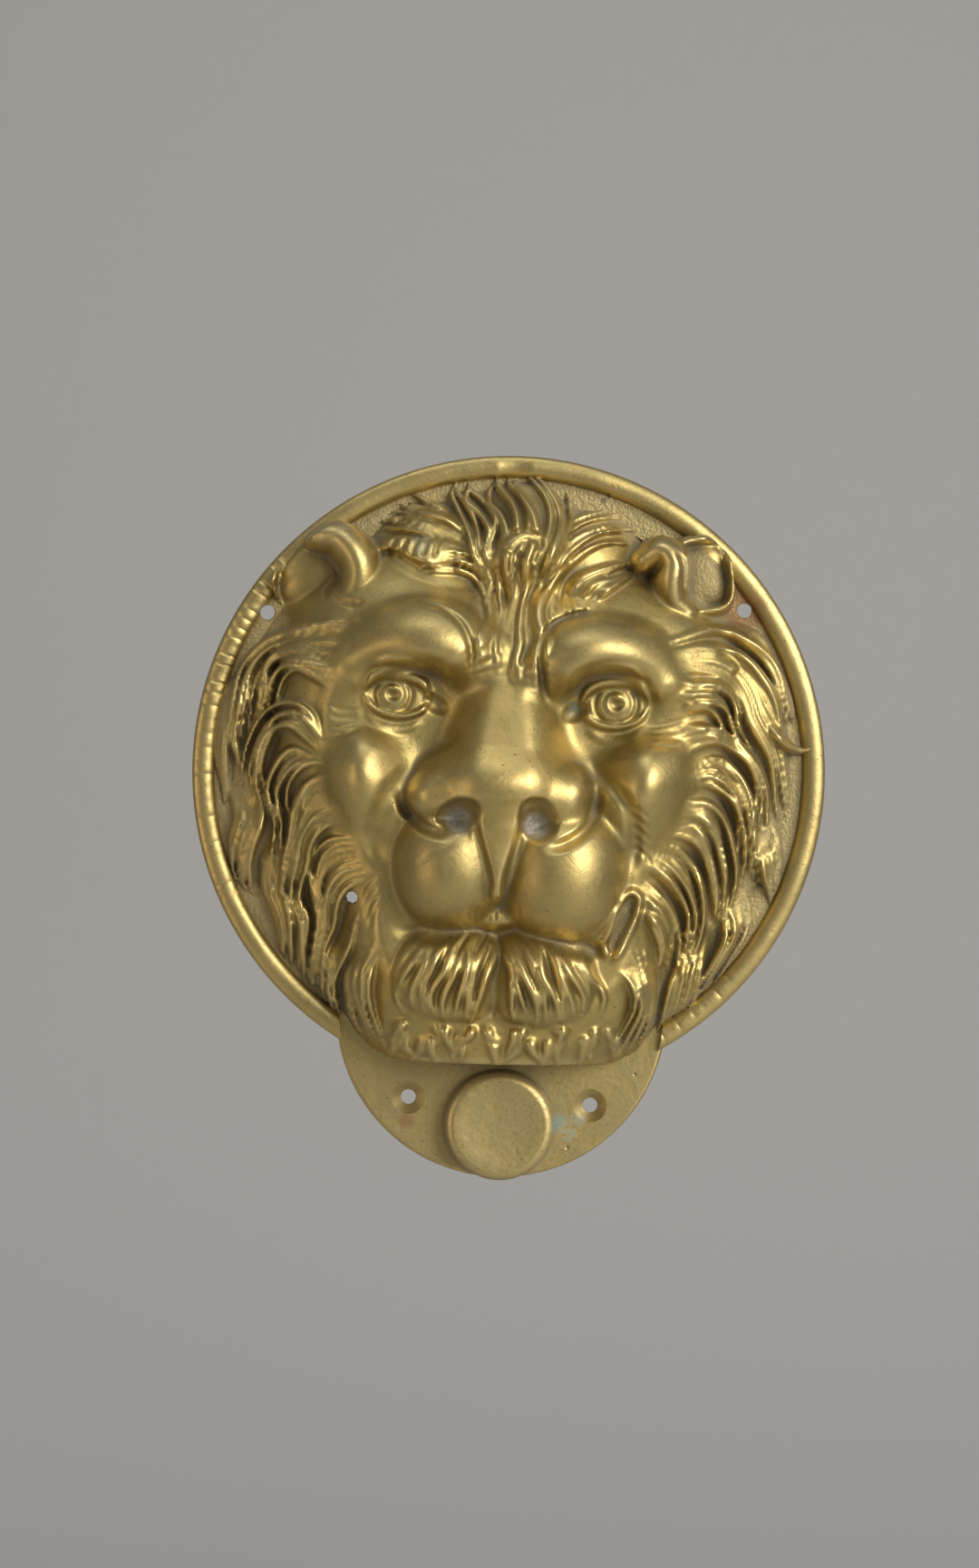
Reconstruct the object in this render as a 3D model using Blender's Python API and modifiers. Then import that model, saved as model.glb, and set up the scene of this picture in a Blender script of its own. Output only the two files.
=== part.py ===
"""Lion head wall mask: a cast brass back plate with a hollow lion's head, a lower tab and a strike boss.

Metres, +Z up. The flat back lies in the plane y = 0 and the face looks along -Y. The origin is on the
flat back of the tab, straight behind the strike boss, where the mask bears on the wall or door.
"""
from math import cos, pi, radians, sin

import bpy
import bmesh
import numpy as np
from mathutils import Matrix, Vector

# Round back plate
PLATE_RADIUS = 0.0875
PLATE_THICKNESS = 0.0032
PLATE_SHIFT = 0.0005
RIM_WIDTH = 0.0062
RIM_RISE = 0.0026
RIM_SIDES = 84

# Lower tab: its round edge, and how far that edge falls below the plate's
TAB_RADIUS = 0.0457
TAB_BELOW = 0.0246
TAB_SHIFT = -0.0006
TAB_THICKNESS = 0.0032
# The bead of the plate stops this far inside the tab's round edge
BEAD_STOP = 0.0010

# Strike boss on the tab; its middle lies this far below the plate's edge, and is the origin's height
BOSS_BELOW = 0.0099
BOSS_RADIUS = 0.0150
BOSS_RISE = 0.0072
BOSS_EDGE = 0.0026
BOSS_DISH = 0.0004
BOSS_SIDES = 40

# Screw holes in the tab, each as (across, below the plate's edge)
TAB_HOLES = {"left": (-0.0259, 0.0030), "right": (0.0245, 0.0043)}
TAB_HOLE_DIAMETER = 0.0041
COUNTERSINK_DIAMETER = 0.0092
COUNTERSINK_DEPTH = 0.0022

# Plain holes under the ears and the pin hole beside the muzzle,
# each as (across, up) in the carving's units
EAR_HOLES = {"left": (-67.6, 42.8), "right": (64.3, 46.0)}
EAR_HOLE_DIAMETER = 0.0041
PIN_HOLE = (-42.0, -35.0)
PIN_HOLE_DIAMETER = 0.0034
HOLE_SIDES = 20
CUT_MARGIN = 0.002

# Head in relief: how far the nose stands off the plate, and the gap from the mane to the rim
NOSE_REACH = 0.0474
MANE_GAP = 0.0008
HEAD_STEP = 0.0012
HEAD_FACES = 5450
HEAD_ROOT = 0.0012

# Hollow behind the head
CASTING_WALL = 0.0030
BACK_RING = 0.0134
HOLLOW_STEP = 0.0012
HOLLOW_RINGS = 15
HOLLOW_SIDES = 56
HOLLOW_LEAST = 0.0010

# Brass
BRASS_COLOUR = (0.46, 0.34, 0.12, 1.0)
BRASS_ROUGHNESS = 0.34

MIDDLE = Vector((PLATE_SHIFT, 0.0, PLATE_RADIUS + BOSS_BELOW))

# The carving is worked in its own units: 80.4 across from the middle to the mane's edge, and 47.4 deep
# from the plate to the nose, so the head keeps its proportions when the plate or the relief changes.
CARVE_RADIUS = 80.4
CARVE_DEPTH = 47.4
CARVE_GROUND = 3.2
ACROSS = (PLATE_RADIUS - RIM_WIDTH - MANE_GAP) / CARVE_RADIUS
DEEP = NOSE_REACH / CARVE_DEPTH


# Shaping tools for the carving

def ease(t):
    """0 to 1 with a soft start and end."""
    t = np.clip(t, 0, 1)
    return t * t * (3 - 2 * t)


def curve(t, stations):
    """A smooth curve through (t, value) stations, without overshoot."""
    p = np.array(sorted(stations), float)
    at, value = p[:, 0], p[:, 1]
    slope = np.diff(value) / np.diff(at)
    first = np.concatenate([[slope[0]], slope])
    last = np.concatenate([slope, [slope[-1]]])
    tangent = np.where(first * last <= 0, 0, (first + last) / 2)
    most = 3 * np.minimum(np.abs(first), np.abs(last))
    tangent = np.clip(tangent, -most, most)
    t = np.clip(t, at[0], at[-1])
    i = np.clip(np.searchsorted(at, t) - 1, 0, len(at) - 2)
    w = at[i + 1] - at[i]
    s = (t - at[i]) / w
    rise = (3 - 2 * s) * s * s
    return (value[i] * (1 - rise) + value[i + 1] * rise
            + w * s * (1 - s) * (tangent[i] * (1 - s) - tangent[i + 1] * s))


def blend(a, b, soft):
    """The higher of two surfaces, with a soft line where they meet."""
    e = np.clip(0.5 + 0.5 * (a - b) / soft, 0, 1)
    return b + (a - b) * e + soft * e * (1 - e)


def mound(x, z, centre, radii, turn=0.0, power=2.0, square=2.0):
    """0 to 1 over an ellipse; a low power has steep sides, a high square has full corners."""
    c, s = cos(radians(turn)), sin(radians(turn))
    u, v = x - centre[0], z - centre[1]
    a = np.abs(u * c + v * s) / radii[0]
    b = np.abs(v * c - u * s) / radii[1]
    return np.clip(1 - a ** square - b ** square, 0, None) ** power


def trail(points, steps=5):
    """A smooth line through a few guide points."""
    p = np.array(points, float)
    e = np.vstack([2 * p[0] - p[1], p, 2 * p[-1] - p[-2]])
    t = np.linspace(0, 1, steps, endpoint=False)[:, None]
    runs = [0.5 * (2 * b + (c - a) * t + (2 * a - 5 * b + 4 * c - d) * t ** 2
                   + (3 * b - a - 3 * c + d) * t ** 3)
            for a, b, c, d in zip(e, e[1:], e[2:], e[3:])]
    return np.vstack(runs + [p[-1:]])


def beside(x, z, line, reach):
    """The places within reach of a line: which, how far along it, and how far to its side."""
    low, high = line.min(0) - reach, line.max(0) + reach
    near = np.nonzero((x > low[0]) & (x < high[0]) & (z > low[1]) & (z < high[1]))
    px, pz = x[near], z[near]
    best = np.full(px.shape, 1e9)
    side, along = np.zeros_like(best), np.zeros_like(best)
    runs = np.hypot(*np.diff(line, axis=0).T)
    start = np.concatenate([[0], np.cumsum(runs)])
    for i, (p, q) in enumerate(zip(line, line[1:])):
        d = q - p
        t = np.clip(((px - p[0]) * d[0] + (pz - p[1]) * d[1]) / max(runs[i], 1e-9) ** 2, 0, 1)
        ex, ez = px - p[0] - t * d[0], pz - p[1] - t * d[1]
        gap = ex * ex + ez * ez
        win = gap < best
        best = np.where(win, gap, best)
        side = np.where(win, np.sign(d[0] * ez - d[1] * ex), side)
        along = np.where(win, (start[i] + t * runs[i]) / start[-1], along)
    return near, along, np.sqrt(best) * side


def groove(h, x, z, points, width, depth, ends=0.2):
    """Cuts a groove along a line; a negative depth lays a ridge."""
    near, s, d = beside(x, z, trail(points), width)
    h[near] -= depth * np.clip(1 - (d / width) ** 2, 0, 1) ** 2 * ease(np.minimum(s, 1 - s) / ends)


def swell(h, x, z, points, lift, left, right, power=1.4, ends=0.22):
    """Raises a long swelling, with its own width to the left and right of its line."""
    near, s, d = beside(x, z, trail(points), max(left, right))
    w = np.where(d > 0, left, right)
    h[near] += lift * np.clip(1 - (d / w) ** 2, 0, 1) ** power * ease(np.minimum(s, 1 - s) / ends)


def evenly(points, count):
    """The same line through evenly spaced points."""
    line = trail(points, 12)
    run = np.concatenate([[0], np.cumsum(np.hypot(*np.diff(line, axis=0).T))])
    at = np.linspace(0, run[-1], count)
    return np.stack([np.interp(at, run, line[:, k]) for k in (0, 1)], -1)


def lock(h, bed, x, z, line, width, lift, root=0.3):
    """One crowned lock that swells from its root and narrows to its tip."""
    near, s, d = beside(x, z, line, width * 1.02)
    body = np.clip(s / root, 0, 1) ** 0.6 * np.clip((1 - s) / 0.5, 0, 1) ** 0.6
    a = d / (width * np.maximum(body, 0.03))
    crown = np.clip(1 - a * a, 0, None) ** 0.5
    rise = 0.1 + 0.9 * ease(s / (root + 0.1))
    height = bed[near] + lift * rise * (crown * (0.5 + 0.5 * body) - 0.22)
    h[near] = np.where(np.abs(a) < 1, np.maximum(h[near], height), h[near])


# Outlines round the middle, as (degrees, radius)
FACE_EDGE = [(-180, 48), (-160, 44), (-140, 46), (-125, 58), (-110, 68), (-90, 71), (-72, 68),
             (-58, 60), (-45, 48), (-28, 42), (-12, 46), (5, 46), (22, 50), (40, 53), (58, 48),
             (75, 40), (90, 34), (105, 42), (122, 53), (140, 56), (158, 52), (180, 48)]
MANE_EDGE = [(-180, 80), (-160, 78.5), (-145, 77), (-130, 81), (-108, 84), (-90, 82), (-70, 84),
             (-55, 81), (-40, 79), (-25, 77.5), (-10, 79), (10, 80), (28, 80), (42, 75), (58, 72),
             (72, 76), (88, 80), (100, 80), (112, 76), (125, 77), (145, 79), (165, 80), (180, 80)]


def round_edge(x, z, edge):
    return curve(np.degrees(np.arctan2(z, x)), edge)


# Face

def bridge_of_nose(h, x, z):
    """A flat-topped wedge that leans out from the brow to the nose."""
    left = curve(z, [(50, -5), (34, -8), (24, -9.3), (20, -10.8), (12, -15.2), (5, -18.5), (-10, -23)])
    right = curve(z, [(50, 5), (34, 6.5), (24, 7.8), (20, 9.1), (15, 12.2), (8, 15.0), (1.5, 17.6),
                      (-10, 19)])
    top = curve(z, [(-16, 40), (-8, 42.8), (-2, 43.4), (5, 42.8), (12, 40.6), (20, 36.8), (26, 33.4),
                    (34, 29.0),
                    (42, 25.5), (52, 20)])
    half = (right - left) / 2
    across = np.abs(x - (left + right) / 2) / half
    side = np.clip(across - 0.5, 0, None) * half
    top = top - 0.24 * side ** 1.8 - 1.0 * across ** 2 - 60 * (1 - ease((z + 16) / 9))
    return blend(h, top, 3.0)


def muzzle(h, x, z):
    """The block behind the muzzle, its two pads and the nose over them."""
    h = blend(h, 10 + 32 * mound(x, z, (-1.0, -15), (33.5, 32), 0, 0.6, 2.4), 5.0)
    h = blend(h, 10 + 36.0 * mound(x, z, (-14.8, -25.0), (17.6, 20.4), 4, 0.42, 2.2), 4.0)
    h = blend(h, 10 + 37.0 * mound(x, z, (14.6, -26.5), (19.2, 22.0), -5, 0.42, 2.2), 4.0)
    front = curve(z, [(-40, 35), (-34, 42.5), (-26, 45.2), (-18, 46.2), (-12, 47.6), (-6, 49.4),
                      (0, 49.8)])
    half = curve(z, [(-36, 0.8), (-26, 3.0), (-18, 5.0), (-12, 5.6), (-6, 5.8)])
    a = np.abs(x - curve(z, [(-34, -2.7), (-26, -2.6), (-16, -2.7), (-6, -2.9)])) / half
    slot = ease((1.6 - a) / 0.8) * ease((-4 - z) / 12) * ease((z + 36) / 3)
    # Nose, round from top to bottom, with full wings
    h = blend(h, 18 + 32.6 * mound(x, z, (-2.8, -4.0), (24.6, 13.4), -1.5, 0.46, 2.2), 5.0)
    for wing, radii in (((-19.6, -6.2), (7.6, 8.6)), ((15.0, -6.6), (7.4, 9.6))):
        h = blend(h, 26 + 20.4 * mound(x, z, wing, radii, 0, 0.45, 2.2), 3.0)
    h = h * (1 - slot) + (front - 0.6 * a * a) * slot
    groove(h, x, z, [(-29.5, -4.5), (-27.8, -10), (-24.4, -14.0), (-20.0, -16.2), (-13, -17.2)], 2.4, 3.0,
           0.3)
    groove(h, x, z, [(24.4, -2), (23.6, -9.5), (20.4, -15.4), (14.5, -19.2), (8.0, -20.4)], 2.4, 2.8, 0.3)
    for centre, radii, turn, deep in (((-12.8, -11.8), (6.6, 5.0), 10, 9.0),
                                      ((7.8, -12.4), (5.8, 6.8), 20, 9.0)):
        c, s = cos(radians(turn)), sin(radians(turn))
        up = ((z - centre[1]) * c - (x - centre[0]) * s) / radii[1]
        bowl = mound(x, z, centre, radii, turn, 1.0)
        h = h - deep * bowl ** np.clip(1.15 - 0.75 * up, 0.42, 2.4)
    groove(h, x, z, [(-7.8, -12), (-8.2, -16), (-6.6, -21.5), (-5.0, -27), (-3.4, -34)], 1.5, 2.0, 0.2)
    groove(h, x, z, [(3.2, -13), (3.0, -17), (1.6, -22), (0.0, -27), (-1.6, -34)], 1.5, 1.9, 0.2)
    return h


def eye(h, x, z, centre, half, tilt, opening, ball, iris, inner):
    """A round opening with doubled upper lid, a drawn inner corner, the ball,
    the iris ring and the pupil."""
    c, s = cos(radians(tilt)), sin(radians(tilt))
    u = (x - centre[0]) * c + (z - centre[1]) * s
    v = (z - centre[1]) * c - (x - centre[0]) * s
    a = np.abs(u / half)
    upper = opening[0] * np.clip(1 - a ** 2.3, 0, None) ** 0.55
    lower = -opening[1] * np.clip(1 - a ** 2.1, 0, None) ** 0.6
    ends = ease((1.16 - a) / 0.3)
    upper_lid = 2.6 * np.clip(1 - ((v - upper - 1.0) / 1.5) ** 2, 0, None)
    fold = 1.8 * np.clip(1 - ((v - upper * 1.12 - 3.4) / 1.3) ** 2, 0, None) * ease((1.0 - a) / 0.4)
    lower_lid = 2.0 * np.clip(1 - ((v - lower + 0.9) / 1.4) ** 2, 0, None)
    bag = 0.9 * np.clip(1 - ((v - lower * 1.15 + 3.8) / 1.3) ** 2, 0, None) * ease((1.0 - a) / 0.4)
    h = h + np.maximum(upper_lid, lower_lid) * ends + fold + bag
    sight = ease(np.minimum(upper - v, v - lower) / 0.8) * (a < 1)
    round_ball = ball + 3.0 * np.clip(1 - (u / half / 1.15) ** 2 - (v / 8.5) ** 2, 0, None) ** 0.5
    h = h * (1 - sight) + round_ball * sight
    d = np.hypot(x - iris[0], z - iris[1])
    h = h + (1.2 * np.clip(1 - (d / iris[2]) ** 2, 0, None) ** 0.5
             - 1.2 * np.clip(1 - ((d - iris[2]) / 0.8) ** 2, 0, 1)) * sight
    h = h - 2.4 * np.clip(1 - (d / 2.2) ** 2, 0, None) ** 0.8
    h = h + 2.0 * np.clip(1 - np.hypot(x - iris[0] - 0.3, z - iris[1] - 1.7) / 1.6, 0, None)
    return h - 2.2 * mound(x, z, (centre[0] + inner * (half + 2.0), centre[1] - 2.2), (4.0, 2.6),
                           -30 * inner, 1.0)


def face(x, z):
    r = np.hypot(x / 82, z / 84)
    h = 5.0 + 20.0 * np.clip(1 - r ** 2.2, 0, None) ** 0.75 + 11.0 * mound(x, z, (-1, 2), (64, 78), 0,
                                                                           2.0)
    # Cheeks, and the hollows of the eyes and beside the nose
    h += 14.0 * mound(x, z, (38, -1), (24, 21), 24, 2.4)
    h += 4.0 * mound(x, z, (37, -18), (20, 24), 10, 2.6)
    h += 13.0 * mound(x, z, (-39, -1), (24, 22), -24, 2.4)
    h += 4.0 * mound(x, z, (-39, -18), (20, 24), -10, 2.6)
    h -= 8.0 * mound(x, z, (28, 17), (21, 15), 4, 2.2)
    h -= 8.5 * mound(x, z, (-31, 19), (21, 15), -4, 2.2)
    h -= 7.5 * mound(x, z, (20.5, 8), (16, 27), 28, 2.4)
    h -= 8.5 * mound(x, z, (-24, 7), (16, 29), -28, 2.4)
    h -= 4.0 * mound(x, z, (-0.5, 40), (12, 26), 0, 2.2, 2.4)
    # Brows, full at their inner ends and drooping at the outer ones
    h += 5.5 * mound(x, z, (26, 38), (23, 15), -8, 2.0, 2.2)
    h += 6.0 * mound(x, z, (-27, 40), (23, 16), 6, 2.0, 2.2)
    swell(h, x, z, [(12.5, 17), (13.5, 24), (18, 29.6), (24.5, 32), (32, 31.2), (38.5, 27), (42.5, 20),
                    (42.5, 13)],
          9.5, 12.0, 6.0, 0.7, 0.22)
    swell(h, x, z, [(-46, 15), (-44.5, 23), (-38.5, 30), (-29, 34), (-19.5, 33), (-13.5, 28),
                    (-11.5, 20)],
          9.5, 14.0, 7.0, 0.7, 0.22)
    h = muzzle(bridge_of_nose(h, x, z), x, z)
    h = eye(h, x, z, (28.2, 18.8), 8.5, 4, (5.6, 5.2), 26.0, (28.2, 19.4, 4.9), -1)
    h = eye(h, x, z, (-30.6, 20.2), 8.3, -6, (5.0, 4.8), 25.4, (-31.6, 20.6, 4.5), 1)
    # Grooves round the brows, beside the muzzle and along the mouth
    groove(h, x, z, [(10.5, 17), (8.6, 24), (7.8, 32), (10.2, 38.6), (16, 42.2), (25, 43.2)], 1.9, 2.8)
    groove(h, x, z, [(-10.2, 22), (-10.6, 28), (-11.2, 34), (-14, 39.6), (-19.5, 43.6), (-28, 46)], 1.3,
           1.7)
    groove(h, x, z, [(20, 2), (26, -1.4), (30.4, -6), (33.4, -12), (34.2, -19), (33.5, -28)], 3.0, 1.9)
    groove(h, x, z, [(-23, 2), (-29, -3), (-33.4, -9), (-36, -17), (-35, -28)], 3.2, 2.0)
    groove(h, x, z, [(-33, -42), (-27, -44.4), (-20, -43.8), (-12, -41.4), (-7, -38)], 2.6, 5.0, 0.3)
    groove(h, x, z, [(2, -38.5), (6, -41), (12.5, -43.6), (20, -46.2), (27, -47.6), (32, -45)], 2.6, 5.0,
           0.3)
    # Chin, in two lobes, over the lower step under it
    h = blend(h, 9 + 12.5 * mound(x, z, (-1, -59), (38, 24.0), 0, 0.4, 3.2), 2.0)
    h = blend(h, 14 + 22 * mound(x, z, (-14.2, -54.5), (17.8, 15.6), -6, 0.42, 2.3), 1.8)
    h = blend(h, 14 + 22.5 * mound(x, z, (9.4, -55.0), (17.6, 16.4), 6, 0.42, 2.3), 1.8)
    for k in range(10):
        t = k / 9
        groove(h, x, z, [(-18 + 33 * t, -45), (-27 + 50 * t, -58 - 6 * sin(pi * t))], 1.3, 1.6)
    return h


# Mane: each fan runs from its first guide to its last, as name: (first guide, last guide, locks, lift)
FANS = {
    "left outer": ([(-73, 30), (-77, 18), (-79, 4), (-77, -10)],
                   [(-70, 26), (-73, 14), (-75, 0)], 2, 3.0),
    "left crown": ([(-46, 39), (-60, 38), (-71, 31), (-76, 8)],
                   [(-48, 28), (-60, 30), (-68, 26), (-70, 8)], 4, 4.8),
    "left brow": ([(-47, 22), (-59, 26), (-66, 12)],
                  [(-50, 11), (-58, 16), (-68, 9), (-70, -4)], 3, 4.8),
    "left temple": ([(-50, 5), (-60, 8), (-68, -2), (-65, -22)],
                    [(-47, -3), (-56, -6), (-60, -16), (-62, -32)], 4, 5.0),
    "left cheek": ([(-44, -14), (-52, -17), (-57, -28), (-57, -44)],
                   [(-43, -21), (-50, -24), (-52, -34), (-52, -50)], 3, 4.8),
    "left jaw": ([(-40, -27), (-48, -34), (-51, -46), (-53, -60)],
                 [(-38, -36), (-44, -44), (-48, -55), (-48, -66)], 3, 4.6),
    "left rim": ([(-76, -8), (-76, -24), (-71, -38)], [(-67, -8), (-69, -24), (-66, -44)], 3, 4.0),
    "left hem": ([(-67, -26), (-63, -42), (-62, -54)],
                 [(-59, -32), (-55, -46), (-55, -62)], 3, 4.4),
    "left throat": ([(-42, -44), (-46, -56), (-44, -70)],
                    [(-33, -48), (-37, -60), (-32, -74)], 4, 4.2),
    "left back": ([(-15, 67), (-26, 72), (-36, 71)], [(-18, 61), (-28, 66), (-38, 66)], 2, 3.4),
    "right outer": ([(56, 41), (68, 38), (75, 24), (79, 12)],
                    [(46, 36), (60, 36), (70, 27), (73, 12)], 3, 4.4),
    "right crown": ([(44, 31), (60, 29), (68, 16), (74, 0)],
                    [(44, 23), (57, 24), (63, 16), (68, 4)], 3, 4.8),
    "right temple": ([(44, 15), (56, 15), (66, 4), (71, -10)],
                     [(47, 4), (57, 8), (67, -2), (69, -18)], 3, 4.6),
    "right cheek": ([(49, 2), (60, 2), (66, -10), (68, -28)],
                    [(46, -9), (56, -10), (60, -20), (60, -35)], 5, 5.2),
    "right jaw": ([(44, -17), (52, -22), (56, -36), (52, -52)],
                  [(36, -25), (45, -31), (49, -42), (47, -52)], 4, 4.8),
    "right chap": ([(36, -29), (44, -36), (46, -52)], [(36, -38), (41, -44), (42, -54)], 2, 4.4),
    "right rim": ([(72, -12), (76, -24), (73, -36)], [(69, -18), (71, -30), (68, -44)], 2, 3.8),
    "right hem": ([(63, -29), (66, -42), (55, -62)], [(57, -38), (56, -52), (48, -69)], 4, 4.4),
    "right beard": ([(49, -50), (45, -61), (41, -73)], [(30, -52), (35, -62), (30, -77)], 5, 4.2),
    "right fan low": ([(13, 45), (19, 54), (34, 59)], [(21, 46), (27, 51), (34, 53)], 2, 3.8),
    "right fan": ([(10, 52), (14, 67), (31, 73)], [(11, 44), (17, 59), (33, 64)], 4, 4.4),
    "left lock": ([(-3, 42), (-9, 58), (-24, 67), (-37, 64)],
                  [(-9, 41), (-15, 52), (-28, 56)], 4, 4.6),
    "tuft": ([(-6, 56), (-13, 67), (-13, 80)], [(-1, 50), (-6, 66), (-9, 79)], 2, 4.4),
    "tuft right": ([(0, 48), (2, 66), (-2, 81)], [(7, 45), (13, 65), (5, 79)], 4, 5.0),
    "forelock": ([(-7, 23), (-6, 36), (-8, 50)], [(8, 21), (7, 34), (10, 52)], 4, 2.4),
}


def mane_bed(x, z):
    """The rounded mass that the locks lie on, sinking into the plate at its edge."""
    q = np.hypot(x, z) / round_edge(x, z, MANE_EDGE)
    return np.where(q < 1, 2.6 + 19.5 * np.clip(1 - q ** 2.8, 0, None) ** 0.85, 2.6 - 30 * (q - 1))


def waved(line, size, phase):
    """The line swung from side to side, more towards its tip."""
    along = np.linspace(0, 1, len(line))
    step = np.gradient(line, axis=0)
    side = np.stack([-step[:, 1], step[:, 0]], -1) / np.hypot(*step.T)[:, None]
    return line + side * (size * along ** 0.5 * np.sin(2 * pi * (1.15 * along + phase)))[:, None]


def mane(h, x, z):
    bed = h.copy()
    h -= 3.0 * ease((np.hypot(x, z) - round_edge(x, z, FACE_EDGE) + 1) / 5)
    for k, (first, last, count, lift) in enumerate(FANS.values()):
        a, b = evenly(first, 8), evenly(last, 8)
        apart = np.hypot(*(a - b).T).mean() / max(count - 1, 1)
        mass = np.hypot(*(a - b).T).mean() * 0.62 + 1.5
        near, s, d = beside(x, z, trail((a + b) / 2, 3), mass)
        crown = np.clip(1 - (d / mass) ** 2, 0, 1) ** 0.8
        bed[near] += 2.2 * crown * ease((s - 0.1) / 0.3) * ease((1 - s) / 0.2)
        for i in range(count):
            t = i / max(count - 1, 1)
            vary = sin(2.4 * i + 1.7 * k)
            line = (1 - t) * a + t * b
            line = line[:1] + (line - line[:1]) * (1 + 0.05 * vary)
            line = waved(line, 0.22 * apart, 0.21 * k)
            lock(h, bed, x, z, trail(line, 3), 0.62 * apart * (1 + 0.1 * vary), lift * (1 + 0.14 * vary))
    return h


def ears(h, x, z):
    """Each ear is a thin cup with its thick inner edge rolled over in front."""
    for rim, hollow, roll, thick, fold in (
            (((-53.0, 53.6), (13.4, 13.4), -20), ((-55.4, 52.9), (9.6, 12.2), -18),
             [(-53.5, 63.6), (-47.5, 62.8), (-42.8, 58.0), (-41.6, 52.0), (-44.4, 46.6), (-49.8, 44.0)],
             6.0,
             [(-47.4, 57.5), (-47.4, 53.4), (-50.2, 49.6), (-50.6, 45.6)]),
            (((51.8, 54.6), (10.0, 12.6), 10), ((53.4, 54.4), (7.4, 10.6), 12),
             [(50.5, 65.0), (45.0, 63.6), (41.6, 58.6), (41.2, 52.4), (43.8, 47.0), (48.0, 45.0)], 5.0,
             [(45.6, 59.5), (46.3, 54), (46.8, 49.5), (49, 46.8)])):
        cup = 15.0 * mound(x, z, *rim, 0.42, 2.3)
        cup = np.where(cup > 0, 5.5 + cup - 8.0 * ease(2.6 * mound(x, z, *hollow, 1.0)), -9)
        h = blend(h, cup, 0.8)
        near, s, d = beside(x, z, trail(roll), thick)
        body = 0.55 + 0.45 * np.sin(pi * np.clip(0.12 + 0.8 * s, 0, 1))
        crown = np.clip(1 - (d / (thick * body)) ** 2, 0, None) ** 0.5
        edge = np.where(crown > 0, 9.0 + 13.0 * crown * body, -9)
        h[near] = blend(h[near], edge, 0.8)
        groove(h, x, z, fold, 1.3, 2.2, 0.3)
    for i in range(4):
        turn = np.array([(-49.2 + 1.7 * i, 47.6 - 0.2 * i), (-46.6 + 1.2 * i, 45.2 - 0.4 * i),
                         (-42.4 + 0.8 * i, 45.6)])
        groove(h, x, z, turn, 0.6, 0.9, 0.3)
    return h


def head(x, z):
    """Height over the back plane, in carving units, at places given in carving units."""
    out = np.clip(np.hypot(x, z) - round_edge(x, z, FACE_EDGE), 0, None)
    h = blend(face(x, z) - 0.10 * out ** 1.8, mane_bed(x, z), 2.5)
    h = ears(mane(h, x, z), x, z)
    hem = -80.0 + 6.0 * np.clip((np.abs(x) - 28) / 14, 0, 1) ** 1.5
    return np.where(z < hem, -9.0, h)


def relief(x, z):
    """How far the head stands in front of the back plane, in metres, at places in metres."""
    h = head((x - MIDDLE.x) / ACROSS, (z - MIDDLE.z) / ACROSS)
    return PLATE_THICKNESS + (h - CARVE_GROUND) * DEEP


# Building tools

def collection(name):
    made = bpy.data.collections.new(name)
    bpy.context.scene.collection.children.link(made)
    return made


def add_object(name, bm, home):
    bmesh.ops.recalc_face_normals(bm, faces=bm.faces)
    mesh = bpy.data.meshes.new(name)
    bm.to_mesh(mesh)
    bm.free()
    obj = bpy.data.objects.new(name, mesh)
    home.objects.link(obj)
    return obj


def helper(name, bm, home):
    obj = add_object(name, bm, home)
    obj.hide_render = True
    obj.display_type = "WIRE"
    return obj


def cutter(name, bm):
    return helper(name, bm, CUTTERS)


def bead_cutter(name, bm):
    return helper(name, bm, BEAD_CUTTERS)


def joined(name, bm):
    return helper(name, bm, JOINED)


def turned(name, profile, sides, middle, make, plain=True):
    """Turns a profile of (radius, height off the back) round an axis square to the wall.

    A plain one has each flat side as one face.
    """
    bm = bmesh.new()
    line = [bm.verts.new((radius, 0.0, height)) for radius, height in profile]
    for a, b in zip(line, line[1:]):
        bm.edges.new((a, b))
    obj = make(name, bm)
    screw = obj.modifiers.new("Turn", "SCREW")
    screw.angle = 2 * pi
    screw.steps = sides
    screw.render_steps = sides
    screw.use_merge_vertices = True
    screw.merge_threshold = 0.00001
    apply_modifiers(obj)
    obj.data.transform(Matrix.Rotation(radians(90), 4, "X"))
    obj.data.transform(Matrix.Translation(Vector((middle[0], 0.0, middle[1]))))
    for v in obj.data.vertices:
        v.co.y = round(v.co.y, 7)
    if plain:
        bm = bmesh.new()
        bm.from_mesh(obj.data)
        bmesh.ops.dissolve_limit(bm, angle_limit=0.001, verts=bm.verts, edges=bm.edges)
        bm.to_mesh(obj.data)
        bm.free()
    obj.data.update()
    return obj


def apply_modifiers(obj):
    bpy.context.view_layer.objects.active = obj
    for modifier in list(obj.modifiers):
        with bpy.context.temp_override(object=obj, active_object=obj, selected_objects=[obj]):
            bpy.ops.object.modifier_apply(modifier=modifier.name)


def combine(obj, others, operation):
    """Joins every piece of a collection to obj in one step, or cuts them all away."""
    modifier = obj.modifiers.new(operation.title(), "BOOLEAN")
    modifier.operation = operation
    modifier.solver = "EXACT"
    modifier.operand_type = "COLLECTION"
    modifier.collection = others
    apply_modifiers(obj)


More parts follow.
